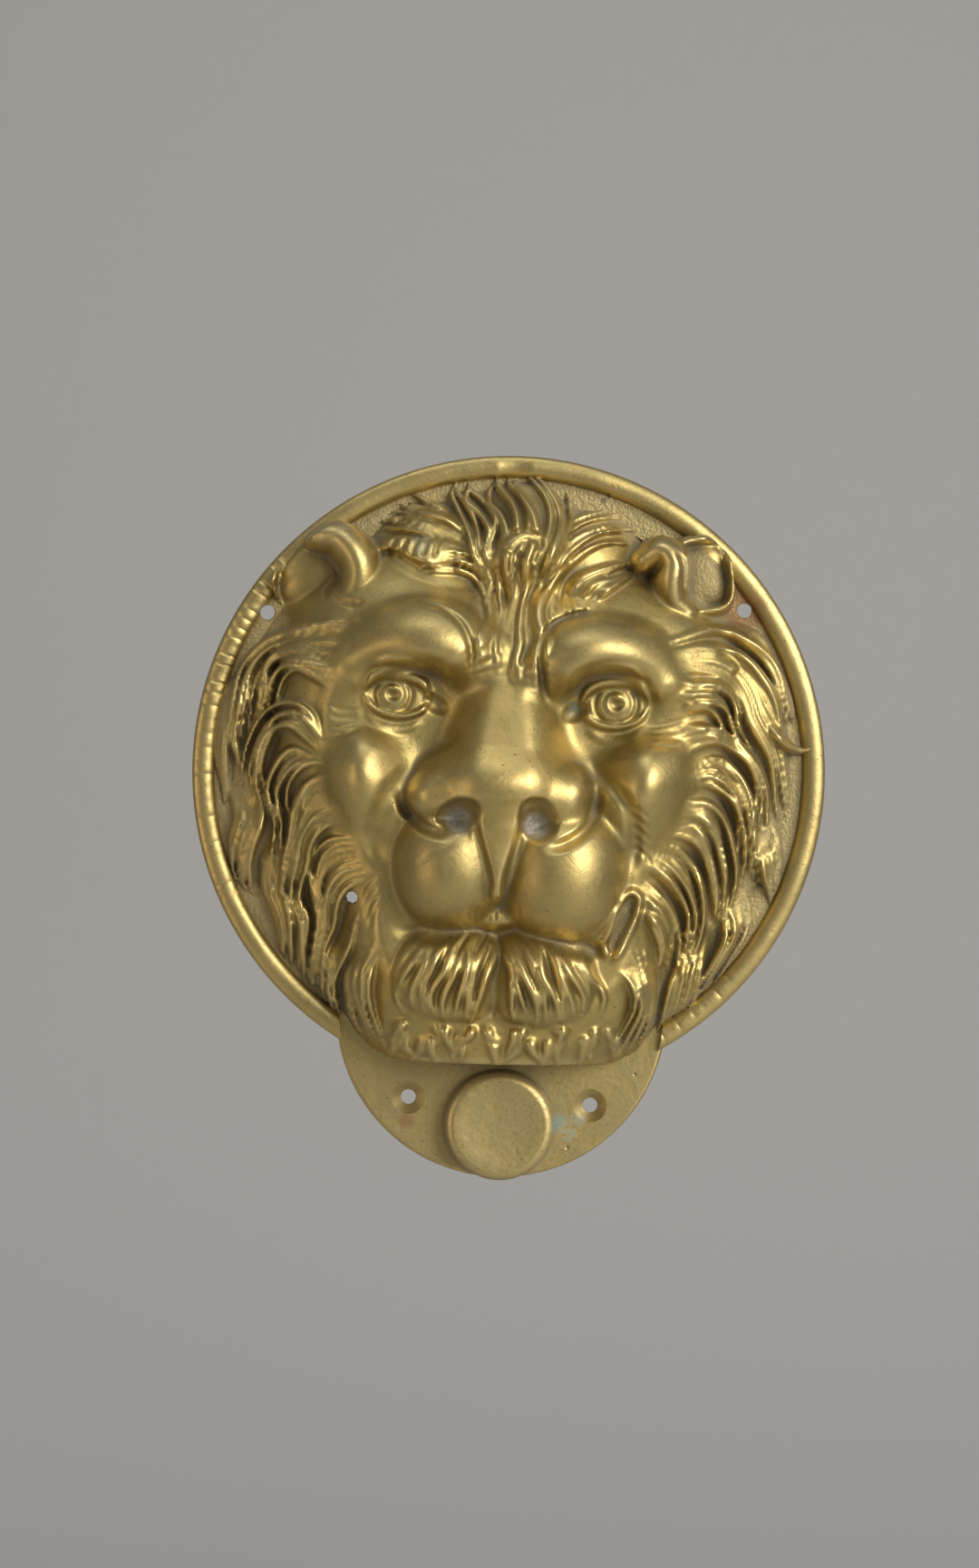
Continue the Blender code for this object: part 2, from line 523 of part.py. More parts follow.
def field_solid(name, xs, zs, height, keep, foot, make):
    """A solid whose front follows height over a grid, down to a flat foot."""
    bm = bmesh.new()
    rows = [[bm.verts.new((x, -height[j, i], z)) for i, x in enumerate(xs)] for j, z in enumerate(zs)]
    for j in range(len(zs) - 1):
        for i in range(len(xs) - 1):
            if keep[j:j + 2, i:i + 2].all():
                bm.faces.new((rows[j][i], rows[j][i + 1], rows[j + 1][i + 1], rows[j + 1][i]))
    bmesh.ops.delete(bm, geom=[v for v in bm.verts if not v.link_faces], context="VERTS")
    rim = [e for e in bm.edges if e.is_boundary]
    skirt = bmesh.ops.extrude_edge_only(bm, edges=rim)["geom"]
    for v in skirt:
        if isinstance(v, bmesh.types.BMVert):
            v.co.y = -foot
    bmesh.ops.holes_fill(bm, edges=[e for e in bm.edges if e.is_boundary], sides=0)
    return make(name, bm)


def in_triangles(obj):
    bm = bmesh.new()
    bm.from_mesh(obj.data)
    bmesh.ops.triangulate(bm, faces=bm.faces, quad_method="SHORT_EDGE")
    bm.to_mesh(obj.data)
    bm.free()
    obj.data.update()


def fewer_faces(obj, count):
    obj.data.calc_loop_triangles()
    thin = obj.modifiers.new("Fewer faces", "DECIMATE")
    thin.ratio = min(1.0, count / len(obj.data.loop_triangles))
    thin.use_collapse_triangulate = True
    apply_modifiers(obj)


def unfold(obj):
    """Evens out the few faces of a front that thinning turned towards the back."""
    bm = bmesh.new()
    bm.from_mesh(obj.data)
    for _ in range(12):
        bm.normal_update()
        bm.faces.index_update()
        front = [f for f in bm.faces if max(v.co.y for v in f.verts) < -HEAD_ROOT * 1.2]
        over = {f.index for f in front if f.normal.y > 0.01}
        corners = [v for v in bm.verts if any(f.index in over for f in v.link_faces)]
        bmesh.ops.smooth_vert(bm, verts=corners, factor=0.5,
                              use_axis_x=True, use_axis_y=True, use_axis_z=True)
    bm.to_mesh(obj.data)
    bm.free()


def grid(step, reach):
    across = int(reach / step) + 1
    line = np.arange(-across, across + 1) * step
    return MIDDLE.x + line, MIDDLE.z + line


def lowest_nearby(h, cells):
    """The lowest height within a few cells of each place."""
    low = h.copy()
    for i in range(-cells, cells + 1):
        for j in range(-cells, cells + 1):
            if i * i + j * j <= cells * cells:
                low = np.minimum(low, np.roll(np.roll(h, i, 0), j, 1))
    return low


def between(h, across, up):
    """The height at a place between the grid's own, in cells."""
    i, j = int(across), int(up)
    s, t = across - i, up - j
    low = h[j, i] * (1 - s) + h[j, i + 1] * s
    return low * (1 - t) + (h[j + 1, i] * (1 - s) + h[j + 1, i + 1] * s) * t


def softened(h, passes):
    for _ in range(passes):
        h = (2 * h + np.roll(h, 1, 0) + np.roll(h, -1, 0) + np.roll(h, 1, 1) + np.roll(h, -1, 1)) / 6
    return h


# The mask

def plate():
    """Round plate with a bead round its edge."""
    front = PLATE_THICKNESS
    inner = PLATE_RADIUS - RIM_WIDTH
    arcs = [pi * k / 6 for k in range(1, 6)]
    bead = [(inner + RIM_WIDTH * (0.5 - 0.5 * cos(a)), front + RIM_RISE * sin(a) ** 0.8) for a in arcs]
    profile = [(0.0, front), (inner, front)] + bead
    profile += [(PLATE_RADIUS, front * 0.95), (PLATE_RADIUS, 0.0), (0.0, 0.0)]
    return turned("lion_mask", profile, RIM_SIDES, (MIDDLE.x, MIDDLE.z), in_mask)


def tab_middle():
    return (MIDDLE.x + TAB_SHIFT, MIDDLE.z - PLATE_RADIUS - TAB_BELOW + TAB_RADIUS)


def bead_cut():
    """Where the tab is, the plate has no bead."""
    reach = PLATE_THICKNESS + RIM_RISE + CUT_MARGIN
    radius = TAB_RADIUS - BEAD_STOP
    profile = [(0.0, reach), (radius, reach), (radius, PLATE_THICKNESS), (0.0, PLATE_THICKNESS)]
    turned("bead cut", profile, RIM_SIDES, tab_middle(), bead_cutter)


def tab():
    profile = [(0.0, TAB_THICKNESS), (TAB_RADIUS - TAB_THICKNESS * 0.25, TAB_THICKNESS),
               (TAB_RADIUS, TAB_THICKNESS * 0.75), (TAB_RADIUS, 0.0), (0.0, 0.0)]
    turned("tab", profile, RIM_SIDES, tab_middle(), joined)


def boss():
    top = TAB_THICKNESS + BOSS_RISE
    arcs = [pi / 8 * k for k in range(5)]
    edge = [(BOSS_RADIUS - BOSS_EDGE * (1 - sin(a)), top - BOSS_EDGE * (1 - cos(a))) for a in arcs]
    profile = [(0.0, top - BOSS_DISH), (BOSS_RADIUS * 0.62, top - BOSS_DISH)] + edge
    profile += [(BOSS_RADIUS, HEAD_ROOT), (0.0, HEAD_ROOT)]
    turned("boss", profile, BOSS_SIDES, (0.0, 0.0), joined)


def relief_solid():
    xs, zs = grid(HEAD_STEP, PLATE_RADIUS - RIM_WIDTH / 2)
    x, z = np.meshgrid(xs, zs)
    height = np.maximum(relief(x, z), HEAD_ROOT + 0.0006)
    keep = np.hypot(x - MIDDLE.x, z - MIDDLE.z) < PLATE_RADIUS - RIM_WIDTH / 2
    obj = field_solid("head", xs, zs, height, keep, HEAD_ROOT, joined)
    fewer_faces(obj, HEAD_FACES)
    unfold(obj)
    return obj


def hollow():
    """The space behind the head, a wall's thickness under the lowest carving near it."""
    xs, zs = grid(HOLLOW_STEP, PLATE_RADIUS)
    x, z = np.meshgrid(xs, zs)
    front = relief(x, z)
    depth = np.minimum(softened(lowest_nearby(front, 3), 10), lowest_nearby(front, 2)) - CASTING_WALL
    radius = PLATE_RADIUS - BACK_RING
    profile = [(radius * k / HOLLOW_RINGS, NOSE_REACH) for k in range(HOLLOW_RINGS + 1)]
    profile += [(radius, -CUT_MARGIN), (0.0, -CUT_MARGIN)]
    obj = turned("hollow", profile, HOLLOW_SIDES, (MIDDLE.x, MIDDLE.z), cutter, plain=False)
    for v in obj.data.vertices:
        if v.co.y < 0:
            v.co.y = -max(between(depth, (v.co.x - xs[0]) / HOLLOW_STEP, (v.co.z - zs[0]) / HOLLOW_STEP),
                          HOLLOW_LEAST)
    in_triangles(obj)


def hole(name, across, up, profile):
    turned(name, profile, HOLE_SIDES, (MIDDLE.x + across, MIDDLE.z + up), cutter)


def straight(diameter, front):
    return [(0.0, front), (diameter / 2, front), (diameter / 2, -CUT_MARGIN), (0.0, -CUT_MARGIN)]


def screw_hole(diameter, front):
    """A straight hole that opens into a countersink at the front."""
    wide = COUNTERSINK_DIAMETER / 2
    spread = (wide - diameter / 2) / COUNTERSINK_DEPTH
    return [(0.0, front + CUT_MARGIN), (wide + spread * CUT_MARGIN, front + CUT_MARGIN),
            (diameter / 2, front - COUNTERSINK_DEPTH), (diameter / 2, -CUT_MARGIN), (0.0, -CUT_MARGIN)]


def in_mask(name, bm):
    return add_object(name, bm, MASK)


for old in list(bpy.data.objects):
    bpy.data.objects.remove(old)
MASK = collection("lion_mask")
BEAD_CUTTERS = collection("bead cutters")
JOINED = collection("joined pieces")
CUTTERS = collection("cutters")

mask = plate()
bead_cut()
combine(mask, BEAD_CUTTERS, "DIFFERENCE")
tab()
boss()
relief_solid()
combine(mask, JOINED, "UNION")

hollow()
through = PLATE_THICKNESS + NOSE_REACH
for side, (across, up) in EAR_HOLES.items():
    hole("ear hole " + side, across * ACROSS, up * ACROSS, straight(EAR_HOLE_DIAMETER, through))
for side, (across, below) in TAB_HOLES.items():
    hole("tab hole " + side, across, -PLATE_RADIUS - below, screw_hole(TAB_HOLE_DIAMETER, TAB_THICKNESS))
hole("pin hole", PIN_HOLE[0] * ACROSS, PIN_HOLE[1] * ACROSS, straight(PIN_HOLE_DIAMETER, through))
combine(mask, CUTTERS, "DIFFERENCE")

brass = bpy.data.materials.new("Brass")
brass.use_nodes = True
shader = brass.node_tree.nodes["Principled BSDF"]
shader.inputs["Base Color"].default_value = BRASS_COLOUR
shader.inputs["Metallic"].default_value = 1.0
shader.inputs["Roughness"].default_value = BRASS_ROUGHNESS
mask.data.materials.clear()
mask.data.materials.append(brass)
for polygon in mask.data.polygons:
    polygon.use_smooth = True
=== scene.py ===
"""Lion head wall mask in cast brass: carved head, beaded plate and strike boss, and their studio.

Metres, +Z up, face towards -Y. The carving is shaped in carving units, about a millimetre each.
"""
from math import atan2, cos, pi, radians, sin

import bpy
import bmesh
import numpy as np
from mathutils import Matrix, Vector


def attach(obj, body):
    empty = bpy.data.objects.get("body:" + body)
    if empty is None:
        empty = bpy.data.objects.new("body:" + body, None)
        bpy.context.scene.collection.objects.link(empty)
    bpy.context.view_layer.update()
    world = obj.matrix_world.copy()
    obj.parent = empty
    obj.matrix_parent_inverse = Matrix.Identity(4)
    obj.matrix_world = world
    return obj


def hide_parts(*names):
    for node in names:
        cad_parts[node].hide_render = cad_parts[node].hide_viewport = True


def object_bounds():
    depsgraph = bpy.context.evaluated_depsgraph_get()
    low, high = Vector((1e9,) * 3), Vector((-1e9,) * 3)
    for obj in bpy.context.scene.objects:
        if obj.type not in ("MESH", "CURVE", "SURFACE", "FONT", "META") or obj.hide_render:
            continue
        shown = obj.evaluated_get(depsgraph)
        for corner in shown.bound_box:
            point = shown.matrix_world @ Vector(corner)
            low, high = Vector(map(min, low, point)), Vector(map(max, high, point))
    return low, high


bl_info = {
    "name": "Lion Head Wall Mask",
    "version": (1, 0, 0),
    "blender": (4, 5, 0),
    "location": "View3D > Sidebar > Wall Mask",
    "description": "Carved head, beaded plate and strike boss of a brass wall mask, with its studio",
    "category": "Object",
}

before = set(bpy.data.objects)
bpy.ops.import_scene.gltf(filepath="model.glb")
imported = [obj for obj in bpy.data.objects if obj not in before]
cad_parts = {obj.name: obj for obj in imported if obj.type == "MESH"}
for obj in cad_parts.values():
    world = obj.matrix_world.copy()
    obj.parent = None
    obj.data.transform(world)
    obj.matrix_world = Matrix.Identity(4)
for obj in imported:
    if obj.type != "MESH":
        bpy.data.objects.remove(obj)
CAD_LOW, CAD_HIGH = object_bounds()
NODE = "lion_mask"
BODY = "root"

# The frame gives the size of the plate; the rest follows it
PLATE_WIDE = CAD_HIGH.x - CAD_LOW.x
MIDDLE = Vector(((CAD_HIGH.x + CAD_LOW.x) / 2, 0.0, CAD_HIGH.z - PLATE_WIDE / 2))

# Carving units: 80.4 across from the middle to the mane's edge, 47.4 deep from plate to nose
HEAD_RADIUS = 80.4
HEAD_DEPTH = 47.4
GROUND = 3.2
HEM = -80.5

# Also in carving units: where the carving sinks away over the bead, where it ends, half the width of its
# grid, how far out its front is closed, where dirt begins inside the bead, and the edge of the floor there
SINKS_FROM, CARVED_TO, GRID_HALF, CLOSED_TO, DIRT_FROM, FLOOR_EDGE = 83.4, 86.6, 87, 74, 78.4, 80.6


# Sizes, colours and studio settings

def length(name, about, value, least=0.0):
    return bpy.props.FloatProperty(name=name, description=about, default=value, min=least,
                                   subtype="DISTANCE", unit="LENGTH", precision=5)


def colour(name, about, value):
    return bpy.props.FloatVectorProperty(name=name, description=about, default=value, size=3,
                                         min=0.0, max=1.0, subtype="COLOR")


def share(name, about, value):
    return bpy.props.FloatProperty(name=name, description=about, default=value, min=0.0, max=1.0,
                                   subtype="FACTOR")


def lamp(name, about, value):
    return bpy.props.FloatProperty(name=name, description=about, default=value, min=0.0, unit="POWER")


class MaskSizes(bpy.types.PropertyGroup):
    """Sizes of the plate, tab, boss, holes and relief"""

    plate_radius: length("Plate Radius", "Radius of the round back plate", PLATE_WIDE / 2)
    plate_thickness: length("Plate Thickness", "Thickness of the plate and tab", 0.0032)
    bead_width: length("Bead Width", "Width of the bead round the plate", 0.0062)
    bead_rise: length("Bead Rise", "Height of the bead over the plate", 0.0026)
    tab_radius: length("Tab Radius", "Radius of the tab's round edge", 0.0457)
    tab_below: length("Tab Below", "The tab's length below the plate's edge", 0.0246)
    boss_radius: length("Boss Radius", "Radius of the strike boss", 0.0150)
    boss_rise: length("Boss Rise", "Height of the boss over the tab", 0.0072)
    boss_below: length("Boss Below", "The boss's middle below the plate's edge", 0.0099)
    ear_hole: length("Ear Hole", "Diameter of the holes by the ears", 0.0041)
    tab_hole: length("Tab Hole", "Diameter of the holes in the tab", 0.0041)
    countersink: length("Countersink", "Diameter of the countersinks in the tab", 0.0092)
    pin_hole: length("Pin Hole", "Diameter of the hole by the muzzle", 0.0034)
    nose_reach: length("Nose Reach", "Height of the nose off the plate", 0.0474)
    wall: length("Casting Wall", "Thickness behind the carving", 0.0030)
    back_ring: length("Back Ring", "Width of the ring round the hollow", 0.0134)
    grain: length("Carving Grain", "Spacing of the carving's points", 0.00052, 0.0003)


class BrassColours(bpy.types.PropertyGroup):
    """Colours of the brass and what has settled on it"""

    brass: colour("Brass", "Handled brass", (0.46, 0.345, 0.125))
    olive: colour("Olive Brass", "Brass that has dulled", (0.32, 0.255, 0.100))
    bright: colour("Bright Brass", "Brass rubbed on high places", (0.62, 0.49, 0.22))
    # Tarnish also paints the shade round the foot of the boss and inside the bead
    tarnish: colour("Tarnish", "Dull brown dirt in the recesses", (0.175, 0.142, 0.092))
    ground: colour("Ground", "Dull ground behind the mane", (0.33, 0.275, 0.155))
    verdigris: colour("Verdigris", "Blue-green spots", (0.22, 0.36, 0.36))
    rust: colour("Rust", "Red-brown stains at the holes", (0.26, 0.095, 0.035))
    tarnish_share: share("Tarnish Share", "How dark the recesses are", 0.72)


class StudioSettings(bpy.types.PropertyGroup):
    """Lights, floor and camera"""

    floor: colour("Floor", "Plain pale floor", (0.62, 0.61, 0.59))
    key: lamp("Key Light", "Soft light at the upper right", 38.0)
    fill: lamp("Fill Light", "Soft light at the left", 4.5)
    top: lamp("Top Light", "Soft light over the mask", 6.0)
    lens: bpy.props.FloatProperty(name="Lens", description="Focal length of the camera", default=85.0,
                                  min=20.0, unit="CAMERA")
    stand_off: length("Camera Distance", "From the camera to the plate", 1.024)
    lean: bpy.props.FloatProperty(name="Lean", description="How far the mask seems turned",
                                  default=radians(1.2), subtype="ANGLE", unit="ROTATION")


# Shaping tools for the carving

def ease(t):
    """0 to 1 with a soft start and end."""
    t = np.clip(t, 0, 1)
    return t * t * (3 - 2 * t)


def pairs(text):
    """Pairs of numbers written as "a,b a,b": the guide points of a line or the stations of a curve."""
    return np.array([pair.split(",") for pair in text.split()], float)


def dome(t, power=1):
    """1 in the middle, falling to 0 where t reaches 1 on either side."""
    return np.maximum(1 - t ** 2, 0) ** power


def curve(t, stations):
    """A smooth curve through (t, value) stations, without overshoot."""
    p = pairs(stations)
    at, value = p[p[:, 0].argsort()].T
    slope = np.diff(value) / np.diff(at)
    first = np.concatenate([[slope[0]], slope])
    last = np.concatenate([slope, [slope[-1]]])
    tangent = np.where(first * last <= 0, 0, (first + last) / 2)
    most = 3 * np.minimum(np.abs(first), np.abs(last))
    tangent = np.clip(tangent, -most, most)
    t = np.clip(t, at[0], at[-1])
    i = np.clip(np.searchsorted(at, t) - 1, 0, len(at) - 2)
    w = at[i + 1] - at[i]
    s = (t - at[i]) / w
    rise = (3 - 2 * s) * s * s
    return (value[i] * (1 - rise) + value[i + 1] * rise
            + w * s * (1 - s) * (tangent[i] * (1 - s) - tangent[i + 1] * s))


def blend(a, b, soft):
    """The higher of two surfaces, with a soft line where they meet."""
    e = np.clip(0.5 + 0.5 * (a - b) / soft, 0, 1)
    return b + (a - b) * e + soft * e * (1 - e)


def seen_from(x, z, centre, turn):
    """The places as seen from a centre that is turned by some degrees."""
    c, s = cos(radians(turn)), sin(radians(turn))
    u, v = x - centre[0], z - centre[1]
    return u * c + v * s, v * c - u * s


def mound(x, z, centre, radii, turn, power, square=2):
    """0 to 1 over an ellipse; a low power has steep sides, a high square has full corners."""
    a, b = np.abs(seen_from(x, z, centre, turn))
    return np.maximum(1 - (a / radii[0]) ** square - (b / radii[1]) ** square, 0) ** power


def trail(points, steps=5):
    """A smooth line through a few guide points."""
    p = pairs(points) if isinstance(points, str) else np.array(points, float)
    e = np.vstack([2 * p[0] - p[1], p, 2 * p[-1] - p[-2]])
    t = np.linspace(0, 1, steps, endpoint=False)[:, None]
    runs = [0.5 * (2 * b + (c - a) * t + (2 * a - 5 * b + 4 * c - d) * t ** 2
                   + (3 * b - a - 3 * c + d) * t ** 3)
            for a, b, c, d in zip(e, e[1:], e[2:], e[3:])]
    return np.vstack(runs + [p[-1:]])


def beside(x, z, line, reach):
    """The places within reach of a line: which, how far along it, and how far to its side."""
    low, high = line.min(0) - reach, line.max(0) + reach
    near = np.nonzero((x > low[0]) & (x < high[0]) & (z > low[1]) & (z < high[1]))
    px, pz = x[near], z[near]
    best = np.full(px.shape, 1e9)
    side, along = np.zeros_like(best), np.zeros_like(best)
    runs = np.hypot(*np.diff(line, axis=0).T)
    start = np.concatenate([[0], np.cumsum(runs)])
    for i, (p, q) in enumerate(zip(line, line[1:])):
        d = q - p
        t = np.clip(((px - p[0]) * d[0] + (pz - p[1]) * d[1]) / max(runs[i], 1e-9) ** 2, 0, 1)
        ex, ez = px - p[0] - t * d[0], pz - p[1] - t * d[1]
        gap = ex * ex + ez * ez
        win = gap < best
        best = np.where(win, gap, best)
        side = np.where(win, np.sign(d[0] * ez - d[1] * ex), side)
        along = np.where(win, (start[i] + t * runs[i]) / start[-1], along)
    return near, along, np.sqrt(best) * side


def groove(h, x, z, points, width, depth, ends=0.2):
    """Cuts a groove along a line; a negative depth lays a ridge."""
    near, s, d = beside(x, z, trail(points), width)
    h[near] -= depth * dome(d / width, 2) * ease(np.minimum(s, 1 - s) / ends)


def swell(h, x, z, points, lift, left, right, power=1.4, ends=0.22):
    """Raises a long swelling, with its own width to the left and right of its line."""
    near, s, d = beside(x, z, trail(points), max(left, right))
    side = d / np.where(d > 0, left, right)
    h[near] += lift * dome(side, power) * ease(np.minimum(s, 1 - s) / ends)


def evenly(points, count):
    """The same line through evenly spaced points."""
    line = trail(points, 12)
    run = np.concatenate([[0], np.cumsum(np.hypot(*np.diff(line, axis=0).T))])
    at = np.linspace(0, run[-1], count)
    return np.stack([np.interp(at, run, line[:, k]) for k in (0, 1)], -1)


def spread(first, last, count):
    """Evenly spread lines from the first to the last, numbered."""
    return [(i, (1 - t) * first + t * last) for i, t in enumerate(np.linspace(0, 1, count))]


def strand(h, bed, x, z, line, width, lift, grooves, root=0.3):
    """One crowned strand that swells from its root and narrows to its tip."""
    near, s, d = beside(x, z, line, width * 1.02)
    body = (0.45 + 0.55 * ease(s / root)) * np.clip((1 - s) / 0.6, 0, 1) ** 0.65
    a = d / (width * np.maximum(body, 0.03))
    crown = dome(a, 0.7)
    rise = 1.4 * ease(s / (root + 0.12)) - 0.4
    height = bed[near] + lift * rise * (crown * (0.5 + 0.5 * body) - 0.22)
    if grooves:
        ripple = np.cos(pi * (grooves + 1) * a + pi * (grooves % 2 == 0))
        height -= 0.55 * (0.5 + 0.5 * ripple) * crown * body
    over = ease((1 - np.abs(a)) / 0.4)
    laid = h[near] * (1 - over) + height * over
    h[near] = np.where(s > root, laid, np.maximum(h[near], laid))


# Outlines round the middle, as degrees,radius
FACE_EDGE = ("-180,48 -160,44 -140,46 -125,58 -110,68 -90,71 -72,68 -58,60 -45,48 -28,42 -12,46 5,46 "
             "22,50 40,53 58,48 75,40 90,34 105,42 122,53 140,56 158,52 180,48")
MANE_EDGE = ("-180,80 -160,78.5 -145,77 -130,81 -108,84 -90,82 -70,84 -55,81 -40,79 -25,77.5 -10,79 10,80 "
             "28,80 42,75 58,72 72,76 88,80 100,80 112,76 125,77 145,79 165,80 180,80")


def round_edge(x, z, edge):
    return curve(np.degrees(np.arctan2(z, x)), edge)


# Face

def bridge_of_nose(h, x, z):
    """A flat-topped wedge that leans out from the brow to the nose."""
    left = curve(z, "50,-5 34,-8 24,-9.3 20,-10.8 12,-15.2 5,-18.5 -10,-23")
    right = curve(z, "50,5 34,6.5 24,7.8 20,9.1 15,12.2 8,15 1.5,17.6 -10,19")
    top = curve(z, "-16,40 -8,44.6 -2,46.2 5,44.8 12,41.4 20,36.8 26,33.4 34,29 42,25.5 52,20")
    half = (right - left) / 2
    across = np.abs(x - (left + right) / 2) / half
    side = np.maximum(across - 0.3, 0) * half
    top = top - 0.11 * side ** 2 - 2.2 * across ** 2 - 60 * (1 - ease((z + 16) / 9))
    return blend(h, top, 8)


def muzzle(h, x, z):
    """The block behind the muzzle, its two pads and the nose over them."""
    h = blend(h, 10 + 32 * mound(x, z, (-1, -14), (32.5, 28.5), 0, 0.6, 2.4), 5)
    h = blend(h, 10 + 36 * mound(x, z, (-14.8, -25), (17.6, 20.4), 4, 0.42, 2.2), 4)
    h = blend(h, 10 + 37 * mound(x, z, (14.6, -26.5), (19.2, 22), -5, 0.42, 2.2), 4)
    front = curve(z, "-40,35 -34,42.5 -26,45.2 -18,46.2 -12,47.6 -6,49.4 0,49.8")
    half = curve(z, "-36,0.8 -26,3 -18,5 -12,5.6 -6,5.8")
    a = np.abs(x - curve(z, "-34,-2.7 -26,-2.6 -16,-2.7 -6,-2.9")) / half
    slot = ease((1.6 - a) / 0.8) * ease((-4 - z) / 12) * ease((z + 36) / 3)
    # Nose, round from top to bottom, with full wings
    h = blend(h, 18 + 31.4 * mound(x, z, (-2.8, -4.6), (24.8, 14.6), -1.5, 0.55, 2.1), 8)
    for wing, radii, turn in (((-19.2, -6.4), (9.4, 8.2), 24), ((14.6, -6.8), (8.6, 10.2), -10)):
        h = blend(h, 26 + 17.4 * mound(x, z, wing, radii, turn, 0.5, 2.2), 4.5)
    h = h * (1 - slot) + (front - 0.6 * a * a) * slot
    groove(h, x, z, "-29.5,-4.5 -27.8,-10 -24.4,-14 -20,-16.2 -13,-17.2", 2.4, 3, 0.3)
    groove(h, x, z, "24.4,-2 23.6,-9.5 20.4,-15.4 14.5,-19.2 8,-20.4", 2.4, 2.8, 0.3)
    nostrils = ((-13.2, -12.4), (6.8, 4.7), 20, 5.8), ((8.1, -13.2), (5.4, 6.6), 22, 6)
    for centre, radii, turn, deep in nostrils:
        up = seen_from(x, z, centre, turn)[1] / radii[1]
        bowl = mound(x, z, centre, radii, turn, 1)
        h = h - deep * bowl ** np.clip(1.25 - 1.15 * up, 0.30, 3.2)
    groove(h, x, z, "-7.8,-12 -8.2,-16 -6.6,-21.5 -5,-27 -3.4,-34", 1.5, 2, 0.2)
    groove(h, x, z, "3.2,-13 3,-17 1.6,-22 0,-27 -1.6,-34", 1.5, 1.9, 0.2)
    return h


def eye(h, x, z, centre, half, tilt, opening, ball, iris, inner):
    """A round opening with a doubled upper lid and a drawn corner, the ball, the iris and the pupil."""
    u, v = seen_from(x, z, centre, tilt)
    a = np.abs(u / half)
    upper = opening[0] * np.maximum(1 - a ** 2.3, 0) ** 0.55
    lower = -opening[1] * np.maximum(1 - a ** 2.1, 0) ** 0.6
    ends = ease((1.16 - a) / 0.3)
    upper_lid = 3.6 * dome((v - upper - 1.5) / 2.1, 0.8)
    fold = 1.6 * dome((v - upper * 1.10 - 4.6) / 1.5) * ease((1 - a) / 0.4)
    lower_lid = 2 * dome((v - lower + 0.9) / 1.4)
    bag = 0.7 * dome((v - lower * 1.15 + 3.8) / 1.5) * ease((1 - a) / 0.4)
    h = h + np.maximum(upper_lid, lower_lid) * ends + fold + bag
    sight = ease(np.minimum(upper - v, v - lower) / 0.8) * (a < 1)
    round_ball = ball + 3 * np.maximum(1 - (u / half / 1.15) ** 2 - (v / 8.5) ** 2, 0) ** 0.5
    h = h * (1 - sight) + round_ball * sight
    d = np.hypot(x - iris[0], z - iris[1])
    rings = 0.9 * dome(d / iris[2], 0.5) - 1.1 * dome((d - iris[2]) / 0.7)
    h = h + (rings - 0.6 * dome((d - 0.62 * iris[2]) / 0.6)) * sight - 1.7 * dome(d / 2.1, 0.8)
    h = h + 1.7 * np.maximum(1 - np.hypot(x - iris[0] - 0.3, z - iris[1] - 1.4) / 1.7, 0)
    corner = (centre[0] + inner * (half + 2), centre[1] - 2.2)
    return h - 2.2 * mound(x, z, corner, (4, 2.6), -30 * inner, 1)


# Short strokes beside the eyes and the muzzle: where each first and last one runs, how many, how deep
STROKES = [("36,12.5 42,13.5 49,16", "34,8.5 41,7.5 48,7", 4, 0.8),
           ("-41,16 -46,16 -50,18", "-40,11 -45,9 -50,8", 4, 0.7),
           ("31.5,-8 35,-9.5 38,-12", "33.5,-19 37,-21.5 39.5,-25", 5, 1.1),
           ("-9,-35.6 -9.4,-38 -9,-41", "3,-35.4 3.2,-38 3.6,-40.6", 9, 1.2),
           ("-34,-28 -38,-31 -40,-36", "-33,-36 -36,-39 -37,-44", 4, 0.9),
           ("29,-29 30.5,-33 29.5,-38", "30,-33 33,-36 34,-39", 2, 1)]


# Cheeks, the hollows of the eyes, beside the nose and over it, and the brows: rise, middle, radii, turn,
# steepness and squareness
FORMS = [(14, (38, -1), (24, 21), 24, 2.4), (4, (37, -18), (20, 24), 10, 2.6),
         (13, (-39, -1), (24, 22), -24, 2.4), (2, (-39, -18), (20, 24), -10, 2.6),
         (-8, (28, 17), (21, 15), 4, 2.2), (-8.5, (-31, 19), (21, 15), -4, 2.2),
         (-7.5, (20.5, 8), (16, 27), 28, 2.4), (-8.5, (-24, 7), (16, 29), -28, 2.4),
         (-4, (-0.5, 40), (12, 26), 0, 2.2, 2.4),
         (5.5, (26, 38), (23, 15), -8, 2, 2.2), (6, (-27, 40), (23, 16), 6, 2, 2.2)]


